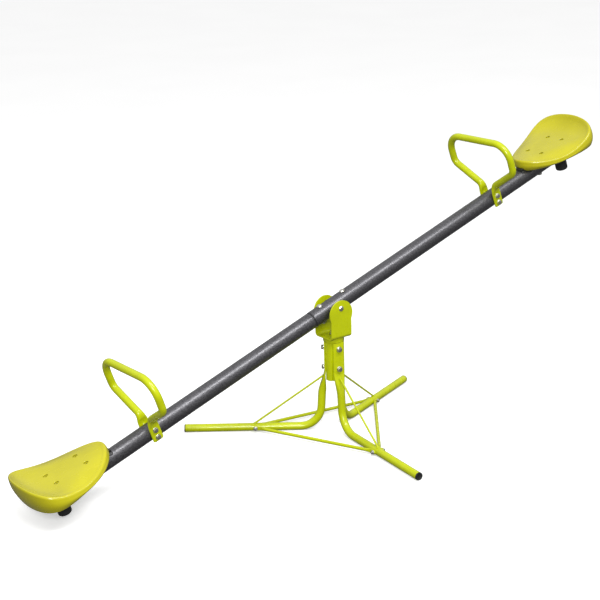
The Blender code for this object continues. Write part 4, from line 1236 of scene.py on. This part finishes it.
def make_saddle(side, label):
    place = along_beam(side)
    low, high, _ = beam_span("saddle_" + label, side)
    inner, outer = tube_r["high"] + 0.0003, SADDLE_R
    a0 = math.asin(low[2] / outer)
    a = np.linspace(a0, math.pi - a0, 48)
    arch = np.concatenate([np.stack([outer * np.cos(a), outer * np.sin(a)], 1),
                           np.stack([inner * np.cos(a), inner * np.sin(a)], 1)[::-1]])
    run = even(low[0] + SADDLE_NOSE, SADDLE_END, 0.01)
    shells = [pushed(arch, lambda y, n, s: place(s, y, n), run)]
    wedge = [(0.829, 0.0262), (0.829, 0.0307), (0.880, 0.0418), (1.0330, 0.0418), (1.0330, 0.0262)]
    shells.append(pushed(wedge, lambda s, n, y: place(s, y, n), [-0.015, 0.015]))
    flat = round_rectangle(0.888, high[0], -0.040, 0.040, 0.006)
    shells.append(pushed(flat, lambda s, y, n: place(s, y, n), [SADDLE_TOP - SADDLE_PLATE, SADDLE_TOP]))
    web = [(0.0140, 0.0395), (0.0385, 0.0395), (0.0385, 0.0370), (0.0205, 0.0205), (0.0160, 0.0225)]
    for s in WEB_PLACES:
        for sign in (-1, 1):
            shells.append(pushed([(sign * y, n) for y, n in web], lambda y, n, q: place(q, y, n),
                                 [s - WEB_HALF, s + WEB_HALF]))
    piece = make_piece("seat_saddle_" + label, shells, "black_plastic", "beam", ["saddle_" + label])
    break_edges(piece, 0.0008, 2, 40)
    return piece


for label, side in SIDES.items():
    make_saddle(side, label)

# %% [markdown]
# ## Bumpers
#
# A rubber bumper under each end takes the knock on the ground. It is a turned block, except that its
# top is hollowed to fit the tube: the height there is minus the square root of tube radius squared less
# y squared.

# %% Bumpers and the bolts under the seats
def make_bumper(side, label):
    low, high, _ = beam_span("bumper_" + label, side)
    rim = (high[1] - low[1]) / 2
    at = along_beam(side)((low[0] + high[0]) / 2, 0.0, 0.0)
    foot = low[2]
    h, r = profile((foot + 0.0110, 0.0043), (foot + 0.0110, 0.0085), (foot, 0.0085, 0.0010),
                   (foot, rim - 0.0006, 0.0030), (foot + 0.0060, rim, 0.0010), (foot + 0.0120, rim))
    cols = 96
    side_r = np.array([rim, rim, rim - 0.0005, rim - 0.005, 0.012, 0.0043])
    tube = tube_r["high"] + 0.0003
    y = side_r[:, None] * np.cos(round_angles(cols))
    top = -np.sqrt(tube ** 2 - y ** 2)
    top[0] = np.minimum(top[1] - 0.001, foot + 0.0200)
    heights = np.concatenate([np.repeat(h[:, None], cols, 1), top])
    radii = np.repeat(np.concatenate([r, side_r])[:, None], cols, 1)
    block = shell(turned(at, UPRIGHT, heights, radii, cols), ring=True)
    return make_piece("rubber_buffer_" + label, [block], "black_rubber", "beam", ["bumper_" + label])


def make_under_bolts(side, label):
    place = along_beam(side)
    low, high, _ = beam_span("saddle_bolt_" + label, side)
    at = place((low[0] + high[0]) / 2, 0.0, 0.0)
    face = tube_r["high"] + 0.0003
    shells = [hex_prism(at, UPRIGHT, high[2] - 0.0050, high[2], 0.0065),
              threaded_rod(at, -UPRIGHT, -high[2] + 0.004, -low[2] + 0.001, 0.0040, face - 0.003),
              washer(at, -UPRIGHT, face, face + 0.0014, 0.0085, 0.0041),
              hex_prism(at, -UPRIGHT, face + 0.0014, -low[2], 0.0065, 0.0036, True)]
    make_piece("saddle_fixing_" + label, shells, "zinc_plate", "beam", ["saddle_bolt_" + label])
    low, high, _ = beam_span("bumper_bolt_" + label, side)
    at = place((low[0] + high[0]) / 2, 0.0, 0.0)
    head = low[2] + 0.0055
    shells = [hex_prism(at, -UPRIGHT, -head, -low[2], 0.0065),
              threaded_rod(at, UPRIGHT, head - 0.0005, high[2], 0.0040, high[2] - 0.012),
              hex_prism(at, UPRIGHT, high[2] - 0.0062, high[2] - 0.0008, 0.0065, 0.0036, True)]
    make_piece("buffer_fixing_" + label, shells, "zinc_plate", "beam", ["bumper_bolt_" + label])


for label, side in SIDES.items():
    make_bumper(side, label)
    make_under_bolts(side, label)

# %% [markdown]
# ## Floor and light
#
# A seamless pale floor, two large soft lights and a dome show the shape without hard shadows. The dome
# is bright overhead and dim at the sides, so that undersides fall darker. The long overhead light draws
# a bright line along each tube and seat rim, and the key light comes from the front left. The floor
# glows a little and is hidden from reflected rays, so that it stays white and does not light the object.

# %% Floor
def floor_finish():
    """Matt pale paper with the faintest cloud and tooth, and a slight glow of its own."""
    mat, shader, coords = new_finish("pale_floor", Roughness=0.9, Emission_Strength=0.32)
    shader.inputs["Emission Color"].default_value = (1.0, 1.0, 1.0, 1.0)
    cloud = noise(mat, coords, 1.5, 2.0)
    mat.node_tree.links.new(blend_colour(mat, cloud, (0.90,) * 3, (0.92,) * 3), shader.inputs["Base Color"])
    add_bump(mat, shader, noise(mat, coords, 300.0), 0.0002, 0.1)
    return mat


COVE_FLAT, COVE_BEND, COVE_TOP = 20.0, 5.0, 16.0


def studio_cove():
    """Round floor whose far edge sweeps up into a wall: a profile of (distance, height) turned about Z."""
    sweep_up = np.linspace(0, math.pi / 2, 12)
    wall = COVE_FLAT + COVE_BEND
    far = np.concatenate([[0.0, 8.0, 16.0], COVE_FLAT + COVE_BEND * np.sin(sweep_up), [wall]])
    rise = np.concatenate([[0.0, 0.0, 0.0], COVE_BEND * (1 - np.cos(sweep_up)), [COVE_TOP]])
    a = round_angles(64)
    grid = np.stack([far[:, None] * np.cos(a), far[:, None] * np.sin(a), rise[:, None] - 0.0002 + 0 * a], -1)
    verts, faces = shell(grid, lids=False)
    return verts, [face[::-1] for face in faces]


verts, faces = studio_cove()
floor_mesh = bpy.data.meshes.new("floor")
floor_mesh.from_pydata(verts.tolist(), [], faces)
floor_mesh.shade_smooth()
floor_mesh.materials.append(floor_finish())
floor = bpy.data.objects.new("floor", floor_mesh)
bpy.context.scene.collection.objects.link(floor)
floor.visible_diffuse = False
floor.visible_glossy = False
floor.visible_shadow = False
print("floor normal", tuple(round(v, 2) for v in floor_mesh.polygons[0].normal))

# %% Lights
def soft_light(name, at, size, power, target=(0.0, 0.0, 0.25)):
    """Rectangular area light (width, depth) aimed at the middle of the object."""
    data = bpy.data.lights.new(name, "AREA")
    data.shape = "RECTANGLE"
    data.size, data.size_y, data.energy = *size, power
    lamp = bpy.data.objects.new(name, data)
    lamp.location = at
    lamp.rotation_euler = (Vector(target) - Vector(at)).to_track_quat("-Z", "Y").to_euler()
    bpy.context.scene.collection.objects.link(lamp)
    return lamp


def studio_dome(levels):
    """World that is bright overhead and dim at the sides: levels are (height from -1 to 1, strength)."""
    world = bpy.data.worlds.new("dome")
    world.use_nodes = True
    tree = world.node_tree
    direction = tree.nodes.new("ShaderNodeTexCoord").outputs["Generated"]
    split = tree.nodes.new("ShaderNodeSeparateXYZ")
    tree.links.new(direction, split.inputs["Vector"])
    height = tree.nodes.new("ShaderNodeMapRange")
    height.inputs["From Min"].default_value, height.inputs["From Max"].default_value = -1.0, 1.0
    tree.links.new(split.outputs["Z"], height.inputs["Value"])
    ramp = tree.nodes.new("ShaderNodeValToRGB")
    tree.links.new(height.outputs["Result"], ramp.inputs["Fac"])
    stops = ramp.color_ramp.elements
    while len(stops) < len(levels):
        stops.new(0.5)
    top = max(strength for _, strength in levels)
    for stop, (z, strength) in zip(stops, levels):
        stop.position = (z + 1) / 2
        stop.color = (strength / top,) * 3 + (1.0,)
    tree.links.new(ramp.outputs["Color"], tree.nodes["Background"].inputs["Color"])
    tree.nodes["Background"].inputs["Strength"].default_value = top
    bpy.context.scene.world = world


soft_light("overhead", (-0.30, -2.25, 4.40), (4.6, 1.1), 160)
soft_light("key", (-3.2, -3.6, 2.3), (1.2, 1.2), 150)
studio_dome([(-1.0, 0.12), (-0.15, 0.17), (0.1, 0.32), (0.45, 0.60), (1.0, 0.80)])
bpy.context.scene.view_settings.view_transform = "Standard"
